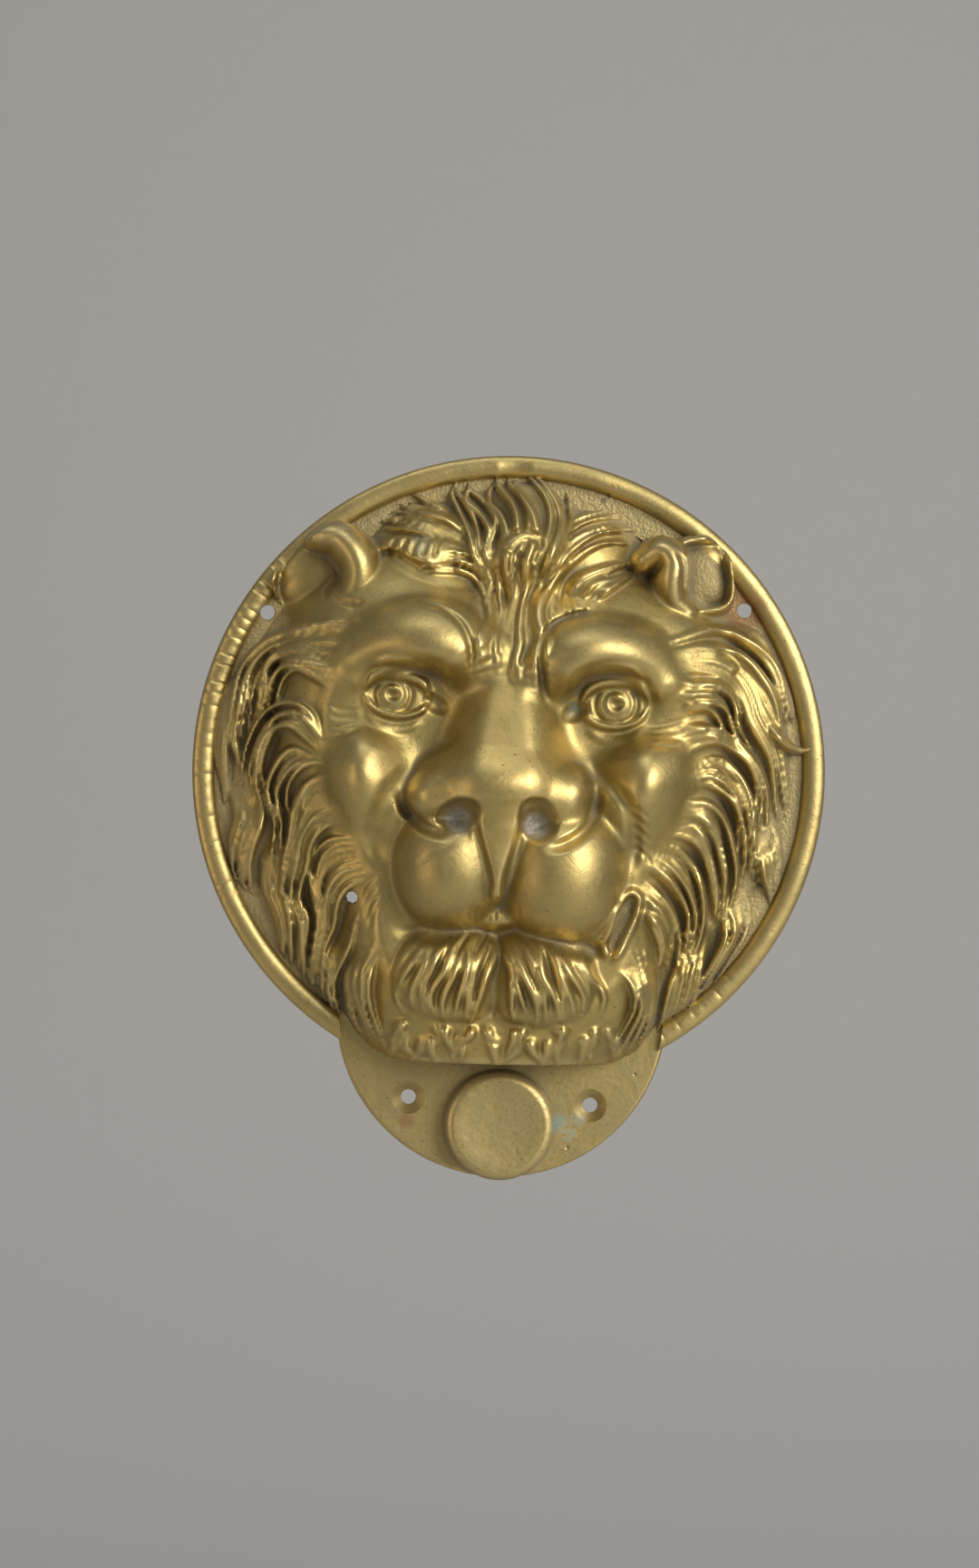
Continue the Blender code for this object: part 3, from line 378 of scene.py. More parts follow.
def face(x, z):
    r = np.hypot(x / 82, z / 84)
    h = 5 + 20 * np.maximum(1 - r ** 2.2, 0) ** 0.75 + 11 * mound(x, z, (-1, 2), (64, 78), 0, 2)
    for rise, *form in FORMS:
        h += rise * mound(x, z, *form)
    # Brows, full at their inner ends and drooping at the outer ones
    swell(h, x, z, "12.5,17 13.5,24 18,29.2 24.5,31.4 32,30.4 38,26 41.5,19.5 42,13",
          11, 12.5, 5.2, 0.7, 0.22)
    swell(h, x, z, "-46,14 -43.5,22 -37.5,28.4 -29,31.6 -19.5,31.6 -13.5,27.5 -11.5,20",
          10.6, 15.5, 5.6, 0.7, 0.22)
    h = muzzle(bridge_of_nose(h, x, z), x, z)
    h = eye(h, x, z, (28.2, 18.6), 8.7, 3, (4.6, 5), 26, (28.4, 18.9, 5.6), -1)
    h = eye(h, x, z, (-30.6, 20), 8.5, -6, (4, 4.5), 25.4, (-31.8, 20.2, 5), 1)
    # Grooves round the brows, beside the muzzle and along the mouth
    groove(h, x, z, "10.5,17 8.6,24 7.8,32 10.2,38.6 16,42.2 25,43.2", 1.7, 3.6)
    groove(h, x, z, "13,37.5 18,40 25,40.8 33,39.6", 1, 0.8)
    groove(h, x, z, "-10.2,22 -10.6,28 -11.2,34 -14,39.6 -19.5,43.6 -28,46", 1.3, 1.7)
    groove(h, x, z, "20,2 26,-1.4 30.4,-6 33.4,-12 34.2,-19 33.5,-28", 3, 1.9)
    groove(h, x, z, "-23,2 -29,-3 -33.4,-9 -36,-17 -35,-28", 4.4, 1.3)
    # A band at the right corner of the mouth, and the pitted loop it runs into
    swell(h, x, z, "21,-46.5 26,-43.4 29.6,-38.5 33,-33.5", 2.4, 2.2, 2.2, 0.8)
    h -= 1.4 * ease(2 * mound(x, z, (31.4, -41), (2.8, 8.4), -18, 1))
    groove(h, x, z, "28.4,-50 26.6,-46.4 28.4,-41.5 30.4,-36 33,-31.8 35.8,-33.2 35.2,-38 32.6,-43.5 "
           "30.4,-48.6 28.2,-50.2", 1.6, -2.6, 0.05)
    groove(h, x, z, "-25,-26 -19,-22.2 -13,-19", 0.9, 0.45, 0.3)
    # Chin, in two lobes, over the lower step under it
    h = blend(h, 9 + 12.5 * mound(x, z, (-1, -59), (38, 24), 0, 0.4, 3.2), 2)
    h = blend(h, 14 + 22 * mound(x, z, (-14.2, -54.5), (17.8, 15.6), -6, 0.42, 2.3), 1.8)
    h = blend(h, 14 + 22.5 * mound(x, z, (9.4, -55), (17.6, 16.4), 6, 0.42, 2.3), 1.8)
    h = blend(h, 20 + 12.5 * mound(x, z, (-3.2, -38.9), (10.5, 5), 0, 0.4), 2)
    groove(h, x, z, "-31,-40 -27,-43.4 -20,-44.8 -13.5,-43.6 -9,-41", 3.2, 2, 0.45)
    groove(h, x, z, "4,-41.4 8,-43.2 13.5,-45.8 20,-47.8 26,-47 30,-43.6", 3.2, 2.2, 0.45)
    for first, last, count, deep in STROKES:
        for i, line in spread(pairs(first), pairs(last), count):
            groove(h, x, z, line, 0.75, deep * (0.8 + 0.25 * sin(2.7 * i + deep * 9)), 0.3)
    return h


# Strands of the chin, as (first guide, last guide, strands), each side of the middle
CHIN = [("-10,-42 -15,-47 -16.5,-53 -19,-60 -17,-67", "-19,-43 -25,-48 -28.5,-54 -30,-60 -28,-65", 6),
        ("-3.5,-42 -4,-48 -5.5,-55 -6,-61 -8,-68", "-8,-42 -12,-48 -13.5,-54 -15,-61 -14,-68", 5),
        ("-1.5,-42 -0.5,-48 1.5,-54 2.5,-60 3.5,-66", "5,-42 9.5,-48 11,-54 14,-61 14,-69", 6),
        ("6.5,-42.5 11.5,-48 14,-54 16.5,-61 17,-68", "16,-45 21,-49 24,-54 26.5,-59 24.5,-65", 6)]


def chin_strands(h, x, z):
    bed = h.copy()
    h -= 1.5 * ease(1.8 * mound(x, z, (-2.2, -54), (26, 12.5), 0, 1, 2.6))
    for k, (first, last, count) in enumerate(CHIN):
        for i, line in spread(evenly(first, 9), evenly(last, 9), count):
            vary = sin(2.1 * i + 1.3 * k)
            line = line[:1] + (line - line[:1]) * (1 + 0.07 * sin(3.3 * i + k))
            line[:, 0] += 1.15 * np.sin(np.linspace(0, 1.7 * pi, 9) + 1.7 * i)
            strand(h, bed, x, z, trail(line, 3), 1.9, 3.1 * (1 + 0.3 * vary), 0, 0.4)
    return h


def under_chin(h, x, z):
    """Short curls on the low step between the chin and the hem, in two rows that lean every way."""
    bed = h.copy()
    for top, low, count, width in ((-69.5, -80.5, 15, 2.3), (-67, -75.5, 12, 1.9)):
        for i in range(count):
            a = -31 + 60 * i / (count - 1)
            lean = 4.2 * sin(2.3 * i + top)
            bow = 2.4 * sin(3.1 * i + 1)
            tip = low + 1.5 * sin(1.7 * i)
            points = [(a, top), (a + 0.4 * lean + bow, (top + low) / 2), (a + lean, tip)]
            strand(h, bed, x, z, trail(points, 6), width, 3.4 + 0.9 * sin(2.2 * i), 0, 0.3)
    return h


# Hair in groups of strands: name, how many, lift and grooves; then their first and last line
HAIR = """left outer 2 2.6 1
-74,30 -77,20 -79.5,8 -80,0 -78.5,-9
-70,29 -73,20 -76,8 -76.5,-2
left crown 6 4.6 2
-45,40 -55,39 -63,37 -69,33 -73,27 -74.5,20 -77,6
-50,34 -58,34 -65,32 -70,26 -72,18 -74,4
left brow 7 4.6 1
-48,31 -58,32.5 -65,31 -68.5,26 -69.5,15 -72,5
-47,21 -54,24.5 -59,27 -63,25 -65,20 -66,12
left hook 7 5.2 1
-50,6 -52.5,12 -55,15.5 -60,17 -66,14 -70,6 -72,-4
-50,3 -55,8 -60,11 -65,9 -67,3 -68,-5 -65,-12
left temple 6 4.8 1
-55,4 -60,5 -64,0 -66,-7 -64,-14 -65,-24
-50,1 -55,1 -60,-4 -61.5,-10 -60.5,-16 -61,-24
left cheek 8 4.8 1
-48,-2 -54,-4 -57.5,-10 -58.5,-18 -61,-26 -62.5,-34
-44,-14 -50,-16 -54,-21 -55,-28 -56.5,-36 -56,-44
left jaw 8 4.6 1
-43,-19 -49,-20 -53,-25 -53,-33 -51.5,-40 -52.5,-50 -54,-60
-38,-30 -43,-32 -46.5,-37 -47.5,-44 -50,-52 -51,-62
left rim 7 4 1
-76,-8 -74.5,-14 -76.5,-21 -76,-27 -73,-35
-68,-6 -67.5,-15 -70,-24 -70,-34 -67,-42
left hem 7 4.4 1
-67,-26 -66,-34 -63,-41 -62,-49 -62.5,-56
-59,-30 -57.5,-36 -54,-42 -54,-52 -55,-63
left beard 6 4.2 1
-46,-46 -49,-53 -50,-60 -48,-68
-41,-42 -42.5,-49 -45.5,-56 -46.5,-62 -44,-72
left throat 7 4 1
-40,-50 -43,-56 -42.5,-64 -40,-73
-33,-48 -36,-54 -36.5,-61 -34.5,-68 -32,-75
left back 6 3.4 1
-15,67 -20,69.5 -26,72 -32,74.5 -36,71
-18,61 -24,65 -31,66 -38,66.5
right outer 6 4.2 2
58,41.5 65,40.5 70,37 73.5,29 78,18 81,10
46,37 55,40 63,38 70,33 73,25 74,15
right crown 7 4.6 1
47,34 55,35.5 63,34 69,29 71.5,21 73,10
44,29 53,29 60,27.5 65,22 68,13 73,4 75,-7 77,-15
right brow 7 4.2 1
44,25 51,25.5 57,25.5 62,21 63,14 67,8
42,17 50,18 56,17.5 60,12 65,6
right temple 6 4.4 1
44,12 50,13.5 56,13 62,9 67,3 71,-6
46,4 51,8 57,9.5 63,6 68,0 70,-8 69,-16
right cheek 7 5.2 1
48,2 55,4.8 60,3 65,-4 66.5,-11 67,-20 69,-30
48,-4 54,-3 60,-6 63,-12 64,-20 63,-28
right fall 7 4.8 1
46,-8 53,-7.5 58,-11 60.5,-18 61.5,-26 60,-35
44,-16 50,-18 54,-23 56,-31 56.5,-40
right jaw 8 4.6 1
43,-19 48,-21 52.5,-27 54,-35 53.5,-43 51,-52
35,-24 41,-27.5 46,-33 49,-40 48,-50
right chap 6 4.2 1
35,-28 40,-31 45,-36.5 46.5,-43 46,-53
36,-38 40,-41 42,-46 42,-54
right rim 6 3.6 1
72,-12 74.5,-18 76,-25 75,-32
69,-18 70.5,-26 73,-34 71,-42
right flick 1 7.5 0
71,17 73.5,11.5 77,8 80.5,7.6 83,9.5 83.5,13
68,17 71,10 77,4.6 82,4.6 86,8 87,13
right hem 7 4.2 1
64,-29 67.5,-36 67,-42 63,-49 55,-63
58,-36 60.5,-43 57,-51 52,-61
right beard 7 4 1
56,-42 54,-52 52.5,-60 48,-70
48,-48 46,-57 44,-65 41,-74
right throat 8 4 1
40,-50 40.5,-58 40,-66 37,-75
29,-52 34,-56 36,-63 33,-71 30,-78
right fan low 6 3.8 1
14,45 15,51 20,55 27,58 35,59
22,46 27,51 33,54
right fan 7 4.4 1
10,52 11,62 15,69 22,72 31,73.5
11,44 13,54 18,60 25,63.5 33,64
left lock low 6 3.6 1
-7,41 -8,48 -11.5,53 -17,54.5 -25,54
-4,42 -6,51 -10,57 -17,59 -25,57
leaf 1 4.8 0
-14,58.5 -19,60 -25,60.4 -31,60 -37,59.5
-14,65 -19,67 -25,67.6 -31,67 -37,66
curl 1 4 0
-1,54 -3,58.5 -1.5,62 2,63.8 5.5,62.6 6.5,59.5
-4,54 -6,59 -3.5,64 2,66.6 7.5,64.6 9,60
back lock 3 4.6 0
-14,67 -20,72 -27,75.5 -35,76.8
-13,65 -19,69 -26,71.5 -35,73.5
tuft left 4 5.4 0
-4,48 -9.5,57 -11.5,64 -14.5,70 -17.5,76 -15,83
-2,50 -6,60 -4.5,67 -8,73 -13,77.5 -11,84
tuft right 3 4.8 0
6,44 11,55 15,65 16,72 13,78.5
5,44 9.5,56 13,66 13.6,73 10,80.5
tuft 6 6.4 0
-1,46 -5,57 -2.4,66 -3.6,72.5 -7.2,78 -5,84
5,43 9,57 12.4,67 11.8,74 8,80 2,84.3
forelock 6 4.6 0
-8.5,21.5 -6.6,28 -7.4,35 -4.5,42 -6,49 -9.5,57
8.3,21 6.2,28 8.2,35 7.6,42 11,50 15,57"""


def mane_bed(x, z):
    """The rounded mass that the locks lie on, sinking into the plate at its edge."""
    q = np.hypot(x, z) / round_edge(x, z, MANE_EDGE)
    return np.where(q < 1, 2.6 + 19.5 * np.maximum(1 - q ** 2.8, 0) ** 0.85, 2.6 - 30 * (q - 1))


def waved(line, size, phase):
    """The line swung from side to side, more towards its tip."""
    along = np.linspace(0, 1, len(line))
    step = np.gradient(line, axis=0)
    side = np.stack([-step[:, 1], step[:, 0]], -1) / np.hypot(*step.T)[:, None]
    return line + side * (size * along ** 0.5 * np.sin(2 * pi * (1.15 * along + phase)))[:, None]


def hair(h, x, z):
    for form in (((3, 62), (13, 23), 0), ((22, 61), (17, 12), 32), ((-22, 62), (19, 11), -22)):
        h += 6.5 * mound(x, z, *form, 1.2)
    bed = h.copy()
    h -= 1.4 * ease((np.hypot(x, z) - round_edge(x, z, FACE_EDGE) + 1) / 6)
    # The outer locks at the sides first, so the inner ones lie over them; the single curls last
    rows, locks = HAIR.split("\n"), []
    for named, first, last in zip(rows[::3], rows[1::3], rows[2::3]):
        count, lift, grooves = map(float, named.split()[-3:])
        middle = np.mean(pairs(first + " " + last), 0)
        far = 0 if abs(middle[0]) < 30 else -np.hypot(*middle)
        locks.append((count == 1, far, evenly(first, 11), evenly(last, 11), int(count), lift, grooves))
    locks.sort(key=lambda lock: lock[:2])
    for k, (single, far, a, b, count, lift, grooves) in enumerate(locks):
        apart = np.hypot(*(a - b).T).mean() / max(count - 1, 1)
        if not single:
            mass = apart * (count - 1) * 0.62 + 1.5
            near, s, d = beside(x, z, trail((a + b) / 2, 3), mass)
            full = 2.2 if far else 0.8
            bed[near] += full * dome(d / mass, 0.8) * ease((s - 0.1) / 0.3) * ease((1 - s) / 0.4)
        for i, line in spread(a, b, count):
            vary = sin(2.4 * i + 1.7 * k)
            line = line[:1] + (line - line[:1]) * (1 + 0.08 * sin(4.1 * i + k))
            line = waved(line, 0.30 * apart, 0.21 * k + 0.10 * vary)
            early = 0.7 + 0.7 * sin(5.3 * i + 2 * k)
            line = np.vstack([(1 + early) * line[:1] - early * line[1:2], line])
            width = (0.78 * apart + 0.15) * (1 + 0.2 * vary)
            strand(h, bed, x, z, trail(line, 3), width, 0.92 * lift * (1 + 0.32 * sin(2.9 * i + k)), grooves)
    return h


# Ears: the rim and the hollow, the line and thickness of the rolled edge, and a fold inside
EARS = [(((-53, 53.6), (13.4, 13.4), -20, 0.42, 2.3), ((-55.4, 52.9), (10, 12.4), -18, 1, 2.3),
         "-53.5,63.6 -47.5,62.8 -42.8,58 -41.6,52 -44.4,46.6 -49.8,44", 6,
         "-47.4,57.5 -47.4,53.4 -50.2,49.6 -50.6,45.6"),
        (((51.6, 55), (9.4, 11.6), 8, 0.42, 3.2), ((52.4, 55), (7.4, 9.6), 8, 1, 3.4),
         "36,58.5 40.5,61 43.6,58 43.2,52.4 44.2,47.4 47.6,44.4", 5.6,
         "43.6,62 46.6,57 46.4,51 48.4,47.4")]


def ears(h, x, z):
    """Each ear is a thin cup with its thick inner edge rolled over in front."""
    for rim, hollow, roll, thick, fold in EARS:
        cup = 12.5 * mound(x, z, *rim)
        cup = np.where(cup > 0, 5 + cup - 8.5 * ease(3.2 * mound(x, z, *hollow)), -9)
        h = blend(h, cup, 0.8)
        near, s, d = beside(x, z, trail(roll, 16), thick)
        body = 0.55 + 0.45 * np.sin(pi * np.clip(0.12 + 0.8 * s, 0, 1))
        crown = dome(d / (thick * body), 0.5)
        edge = np.where(crown > 0, 9 + 13 * crown * body, -9)
        h[near] = blend(h[near], edge, 0.8)
        groove(h, x, z, fold, 1.3, 2.2, 0.3)
    for i in range(5):
        finger = np.array([(-34 + 3.1 * i, 57.2), (-33.4 + 3.1 * i, 60.4), (-31.6 + 3.1 * i, 64)])
        groove(h, x, z, finger, 0.9, 1.7, 0.3)
    for i in range(4):
        turn = np.array([(-49.2 + 1.7 * i, 47.6 - 0.2 * i), (-46.6 + 1.2 * i, 45.2 - 0.4 * i),
                         (-42.4 + 0.8 * i, 45.6)])
        groove(h, x, z, turn, 0.6, 0.9, 0.3)
    return h


def head(x, z):
    """Height over the back plane, in carving units, at places given in carving units."""
    out = np.maximum(np.hypot(x, z) - round_edge(x, z, FACE_EDGE), 0)
    h = under_chin(chin_strands(face(x, z), x, z), x, z)
    h = blend(h - 0.10 * out ** 1.8, mane_bed(x, z), 2.5)
    h = ears(hair(h, x, z), x, z)
    hem = -80 + 6 * np.clip((np.abs(x) - 28) / 14, 0, 1) ** 1.5
    return np.where(z < hem, -9, h)


def stipple(x, z):
    """1 where the brass is left stippled: inside the right ear and in the loop beside the mouth."""
    places = (((52.8, 54.2), (6.8, 10), 14), ((31.4, -41), (2.6, 8), -18))
    return np.maximum.reduce([ease(3 * mound(x, z, *place, 1)) for place in places])


# From carving units to the mask

def across(sizes):
    """One carving unit across the plate, in metres."""
    return (sizes.plate_radius - sizes.bead_width - 0.0008) / HEAD_RADIUS


def on_front(u, v, sizes):
    """A place given in carving units, in metres on the mask."""
    unit = across(sizes)
    return (MIDDLE.x + u * unit, 0, MIDDLE.z + v * unit)


def blurred(h, cells):
    """A grid of heights averaged softly over this many cells."""
    pad = int(3 * cells) + 1
    big = np.pad(h, pad, mode="edge")
    u = np.fft.fftfreq(big.shape[0])[:, None]
    v = np.fft.rfftfreq(big.shape[1])[None, :]
    soft = np.exp(-2 * (pi * cells) ** 2 * (u * u + v * v))
    out = np.fft.irfft2(np.fft.rfft2(big) * soft, s=big.shape)
    return out[pad:pad + h.shape[0], pad:pad + h.shape[1]]


def lowest_nearby(h, cells):
    """The lowest height within a few cells of each place."""
    low = h.copy()
    for i in range(-cells, cells + 1):
        for j in range(-cells, cells + 1):
            if i * i + j * j <= cells * cells:
                low = np.minimum(low, np.roll(np.roll(h, i, 0), j, 1))
    return low


def drawn_to(u, v, circles, step):
    """Moves the grid's points that lie next to a circle onto it."""
    for (cx, cz), radius in circles:
        d = np.hypot(u - cx, v - cz)
        near = np.abs(d - radius) < 0.72 * step
        pull = np.where(near, radius / np.maximum(d, 1e-9), 1)
        u, v = cx + (u - cx) * pull, cz + (v - cz) * pull
    return u, v


def whole_cells(good):
    return good[:-1, :-1] & good[1:, :-1] & good[:-1, 1:] & good[1:, 1:]


def grid_surface(x, y, z, keep):
    """A mesh of the grid's kept cells, and which of its points it uses."""
    used = np.zeros(x.shape, bool)
    used[:-1, :-1] |= keep
    used[1:, :-1] |= keep
    used[:-1, 1:] |= keep
    used[1:, 1:] |= keep
    number = np.zeros(x.shape, int)
    number[used] = np.arange(used.sum())
    quads = np.stack([number[:-1, :-1], number[:-1, 1:], number[1:, 1:], number[1:, :-1]], -1)[keep]
    mesh = bpy.data.meshes.new("surface")
    mesh.from_pydata(np.stack([x, y, z], -1)[used].tolist(), [], quads.tolist())
    return mesh, used


def placed(name, data):
    """A new thing in the scene."""
    thing = bpy.data.objects.new(name, data)
    bpy.context.scene.collection.objects.link(thing)
    return thing


def meshed(bm, name):
    """A smooth mesh of the edited points and faces."""
    mesh = bpy.data.meshes.new(name)
    bm.to_mesh(mesh)
    bm.free()
    mesh.polygons.foreach_set("use_smooth", [True] * len(mesh.polygons))
    return mesh


def mark(mesh, name, values):
    """Gives every point of a mesh a number that the brass reads."""
    mesh.attributes.new(name, "FLOAT", "POINT").data.foreach_set("value", values)


def add_piece(name, make, scene):
    """A piece that stands for the packed solid and rides on its body."""
    old = bpy.data.objects.get(name)
    if old:
        bpy.data.objects.remove(old)
    mesh = make(scene.mask_sizes)
    mesh.name = name
    mesh.materials.clear()
    mesh.materials.append(brass(scene.mask_sizes, scene.mask_colours))
    piece = placed(name, mesh)
    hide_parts(NODE)
    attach(piece, BODY)
    return piece


def turned(profile, sides, middle):
    """A mesh turned from (radius, height off the back) round an axis square to the wall."""
    bm = bmesh.new()
    line = [bm.verts.new((radius, 0, height)) for radius, height in profile]
    edges = [bm.edges.new(pair) for pair in zip(line, line[1:])]
    bmesh.ops.spin(bm, geom=line + edges, angle=2 * pi, steps=sides, axis=(0, 0, 1), cent=(0, 0, 0),
                   use_merge=True)
    bmesh.ops.remove_doubles(bm, verts=bm.verts, dist=1e-7)
    bmesh.ops.rotate(bm, verts=bm.verts, matrix=Matrix.Rotation(radians(90), 3, "X"))
    bmesh.ops.translate(bm, verts=bm.verts, vec=(middle[0], 0, middle[1]))
    bmesh.ops.recalc_face_normals(bm, faces=bm.faces)
    return meshed(bm, "turned")


def rod(radius, high, low, sides, middle):
    """A plain round rod square to the wall."""
    return turned([(0, high), (radius, high), (radius, low), (0, low)], sides, middle)


def combined(first, others, operation):
    """Joins solids to the first or cuts them from it, and returns the mesh."""
    body = placed("body", first)
    tools = [placed("tool", mesh) for mesh in others]
    for tool in tools:
        modifier = body.modifiers.new("Combine", "BOOLEAN")
        modifier.operation = operation
        modifier.solver = "EXACT"
        modifier.object = tool
    graph = bpy.context.evaluated_depsgraph_get()
    made = bpy.data.meshes.new_from_object(body.evaluated_get(graph))
    for used in [body] + tools:
        bpy.data.objects.remove(used)
    return made


# Places on the mask, in carving units, and the tab's in metres below the plate's edge
EAR_HOLES = ((-67.6, 42.8), (64.3, 46))
PIN_HOLE = (-42, -35)
TAB_HOLES = ((-0.0259, 0.0030), (0.0245, 0.0043))
TAB_ASIDE, BOSS_ASIDE = -0.0006, -0.0005

# The tab's rounded edge, the depth of a countersink, and how far a cutting rod reaches past the metal
TAB_SOFT, SINK_DEPTH, PAST = 0.001, 0.0022, 0.002


def on_tab(aside, below, sizes):
    return (MIDDLE.x + aside, MIDDLE.z - sizes.plate_radius - below)


def drawn_out(bm, edges):
    """The new points of a strip of faces along open edges."""
    made = bmesh.ops.extrude_edge_only(bm, edges=edges)["geom"]
    return [w for w in made if isinstance(w, bmesh.types.BMVert)]


def head_mesh(sizes):
    """The carved front, the hollow behind it and the pin hole through both."""
    unit = across(sizes)
    deep = sizes.nose_reach / HEAD_DEPTH
    step = sizes.grain / unit
    holes = [(place, sizes.ear_hole / 2 / unit) for place in EAR_HOLES]
    pin = (PIN_HOLE, sizes.pin_hole / 2 / unit)

    def metres(u, v, h):
        return (MIDDLE.x + u * unit, -(sizes.plate_thickness + (h - GROUND) * deep),
                MIDDLE.z + v * unit)

    cells = int(GRID_HALF / step)
    line = np.arange(-cells - 1, cells + 2) * step
    u, v = drawn_to(*np.meshgrid(line, line), holes + [pin], step)
    reach = np.hypot(u, v)
    h = blurred(head(u, v), 0.6)
    h = GROUND + (h - GROUND) * (1 - ease((reach - SINKS_FROM) / 3))
    open_at = [np.hypot(u - cx, v - cz) > radius - 1e-6 for (cx, cz), radius in holes + [pin]]
    good = (reach < CARVED_TO) & np.logical_and.reduce(open_at)
    shows = (h > GROUND - 0.5) | (reach < CLOSED_TO)
    keep = whole_cells(good) & ~whole_cells(~shows)
    front, used = grid_surface(*metres(u, v, np.maximum(h, np.where(reach < CLOSED_TO + 1, 2.6, 0.6))), keep)

    # What the brass reads of the carving: the recesses, the worn high places and the ground
    solid = np.maximum(h, GROUND)
    fine = blurred(solid, 1.3 / step) - solid
    broad = blurred(solid, 4.5 / step) - solid
    flat = (1 - ease((h - 5) / 4)) * (1 - ease(3 * mound(u, v, (-55.4, 52.9), (13.5, 14.5), -18, 1)))
    looks = {"recess": np.clip(0.42 * np.maximum(fine - 0.12, 0) + 0.05 * np.maximum(broad, 0), 0, 1),
             "ridge": np.clip(-0.8 * fine - 0.06 * broad, 0, 1),
             "ground": np.clip(np.maximum(flat, stipple(u, v)), 0, 1),
             "face": np.ones_like(h)}
    for name, value in looks.items():
        mark(front, name, value[used].astype(np.float32))

    # Hollow back
    step = 1.2 / unit / 1000
    radius = (sizes.plate_radius - sizes.back_ring) / unit
    cells = int(radius / step)
    line = np.arange(-cells - 2, cells + 3) * step
    u, v = drawn_to(*np.meshgrid(line, line), [((0, 0), radius), pin], step)
    over = np.maximum(head(u, v), 1)
    inside = np.minimum(blurred(lowest_nearby(over, 3), 2), lowest_nearby(over, 2)) - sizes.wall / deep
    good = (np.hypot(u, v) < radius + 1e-6) & (np.hypot(u - pin[0][0], v - pin[0][1]) > pin[1] - 1e-6)
    back = grid_surface(*metres(u, v, np.maximum(inside, 1)), whole_cells(good))[0]
    back.flip_normals()

    bm = bmesh.new()
    bm.from_mesh(front)
    px, _, pz = metres(*pin[0], 0)
    by_pin = [e for e in bm.edges if e.is_boundary
              and all(np.hypot(w.co.x - px, w.co.z - pz) < sizes.pin_hole * 0.7 for w in e.verts)]
    for w in drawn_out(bm, by_pin):
        w.co.y += sizes.wall * 1.6
    fresh = len(bm.verts)
    bm.from_mesh(back)
    bm.verts.index_update()
    edge = [e for e in bm.edges if e.is_boundary and all(w.index >= fresh for w in e.verts)]
    rim = [e for e in edge if np.hypot(e.verts[0].co.x - px, e.verts[0].co.z - pz) > sizes.pin_hole]
    for e in rim:
        e.smooth = False
    for w in drawn_out(bm, rim):
        w.co.y = -sizes.plate_thickness * 0.9
    bpy.data.meshes.remove(front)
    bpy.data.meshes.remove(back)
    return meshed(bm, "head")


def plate_mesh(sizes):
    """The beaded ring with its tab, screw holes and countersinks; the bead has small nicks and dents."""
    front, outer = sizes.plate_thickness, sizes.plate_radius
    inner, hollow = outer - sizes.bead_width, outer - sizes.back_ring
    middle = (MIDDLE.x, MIDDLE.z)
    arcs = [pi * k / 12 for k in range(1, 12)]
    bead = [(inner + sizes.bead_width * (0.5 - 0.5 * cos(a)), front + sizes.bead_rise * sin(a) ** 0.8)
            for a in arcs]
    ring = [(hollow, front), (inner, front)] + bead
    ring += [(outer, front * 0.9), (outer, front * 0.1), (outer - front * 0.1, 0), (hollow, 0),
             (hollow, front)]
    plate = turned(ring, 720, middle)
    tab_middle = on_tab(TAB_ASIDE, sizes.tab_below - sizes.tab_radius, sizes)
    far = front + sizes.bead_rise + PAST
    cut = rod(sizes.tab_radius - TAB_SOFT, far, front, 240, tab_middle)
    edge = [(sizes.tab_radius - TAB_SOFT * (1 - sin(a)), front - TAB_SOFT * (1 - cos(a)))
            for a in (0, pi / 6, pi / 3, pi / 2)]
    tab = turned([(0, front)] + edge + [(sizes.tab_radius, 0.0004), (sizes.tab_radius - 0.0004, 0), (0, 0)],
                 240, tab_middle)
    core = rod(hollow, far, -PAST, 540, middle)
    plate = combined(plate, [cut], "DIFFERENCE")
    plate = combined(plate, [combined(tab, [core], "DIFFERENCE")], "UNION")
    drills = [rod(sizes.ear_hole / 2, far, -PAST, 40, on_front(*place, sizes)[::2]) for place in EAR_HOLES]
    r, wide = sizes.tab_hole / 2, sizes.countersink / 2
    mouth = wide + (wide - r) / SINK_DEPTH * (far - front)
    for hole in TAB_HOLES:
        drills.append(turned([(0, far), (mouth, far), (r, front - SINK_DEPTH), (r, -PAST), (0, -PAST)],
                             48, on_tab(*hole, sizes)))
    plate = combined(plate, drills, "DIFFERENCE")
    for w in plate.vertices:
        dx, dz = w.co.x - middle[0], w.co.z - middle[1]
        if np.hypot(dx, dz) > inner and w.co.y < -front * 1.02:
            w.co.y += bead_wear(np.degrees(atan2(dz, dx)))
    return plate


def bead_wear(angle):
    """How far the bead is cut, knocked or worn down at an angle round the plate, in metres."""
    worn = 0.00012 * sin(radians(angle * 7 + 20)) + 0.00008 * sin(radians(angle * 23)) + 0.0001
    nicks = (138, 166, 15, 0.0007), (166, 205, 15, 0.0003), (-62, -42, 17, 0.00022)
    for first, last, count, deep in nicks:
        at = angle % 360 - 360 * (first < 0)
        if first < at < last:
            t = (at - first) / (last - first) * count
            worn += deep * max(0, cos(2 * pi * t)) ** 3 * (0.6 + 0.4 * sin(2.3 * int(t + 0.5)))
    worn += 0.0006 * max(0, 1 - ((angle - 90) / 3.2) ** 2)
    return worn


def boss_mesh(sizes):
    radius, front, soft = sizes.boss_radius, sizes.plate_thickness, 0.0026
    top = front + sizes.boss_rise
    arcs = [pi / 2 * k / 10 for k in range(11)]
    edge = [(radius - soft * (1 - sin(a)), top - soft * (1 - cos(a))) for a in arcs]
    dish = [(0, top - 0.0007), (radius * 0.4, top - 0.0006), (radius * 0.66, top - 0.0003)]
    foot = [(radius, front + 0.0004), (radius + 0.0004, front), (radius + 0.0004, 0.0012), (0, 0.0012)]
    return turned(dish + edge + foot, 160, on_tab(BOSS_ASIDE, sizes.boss_below, sizes))


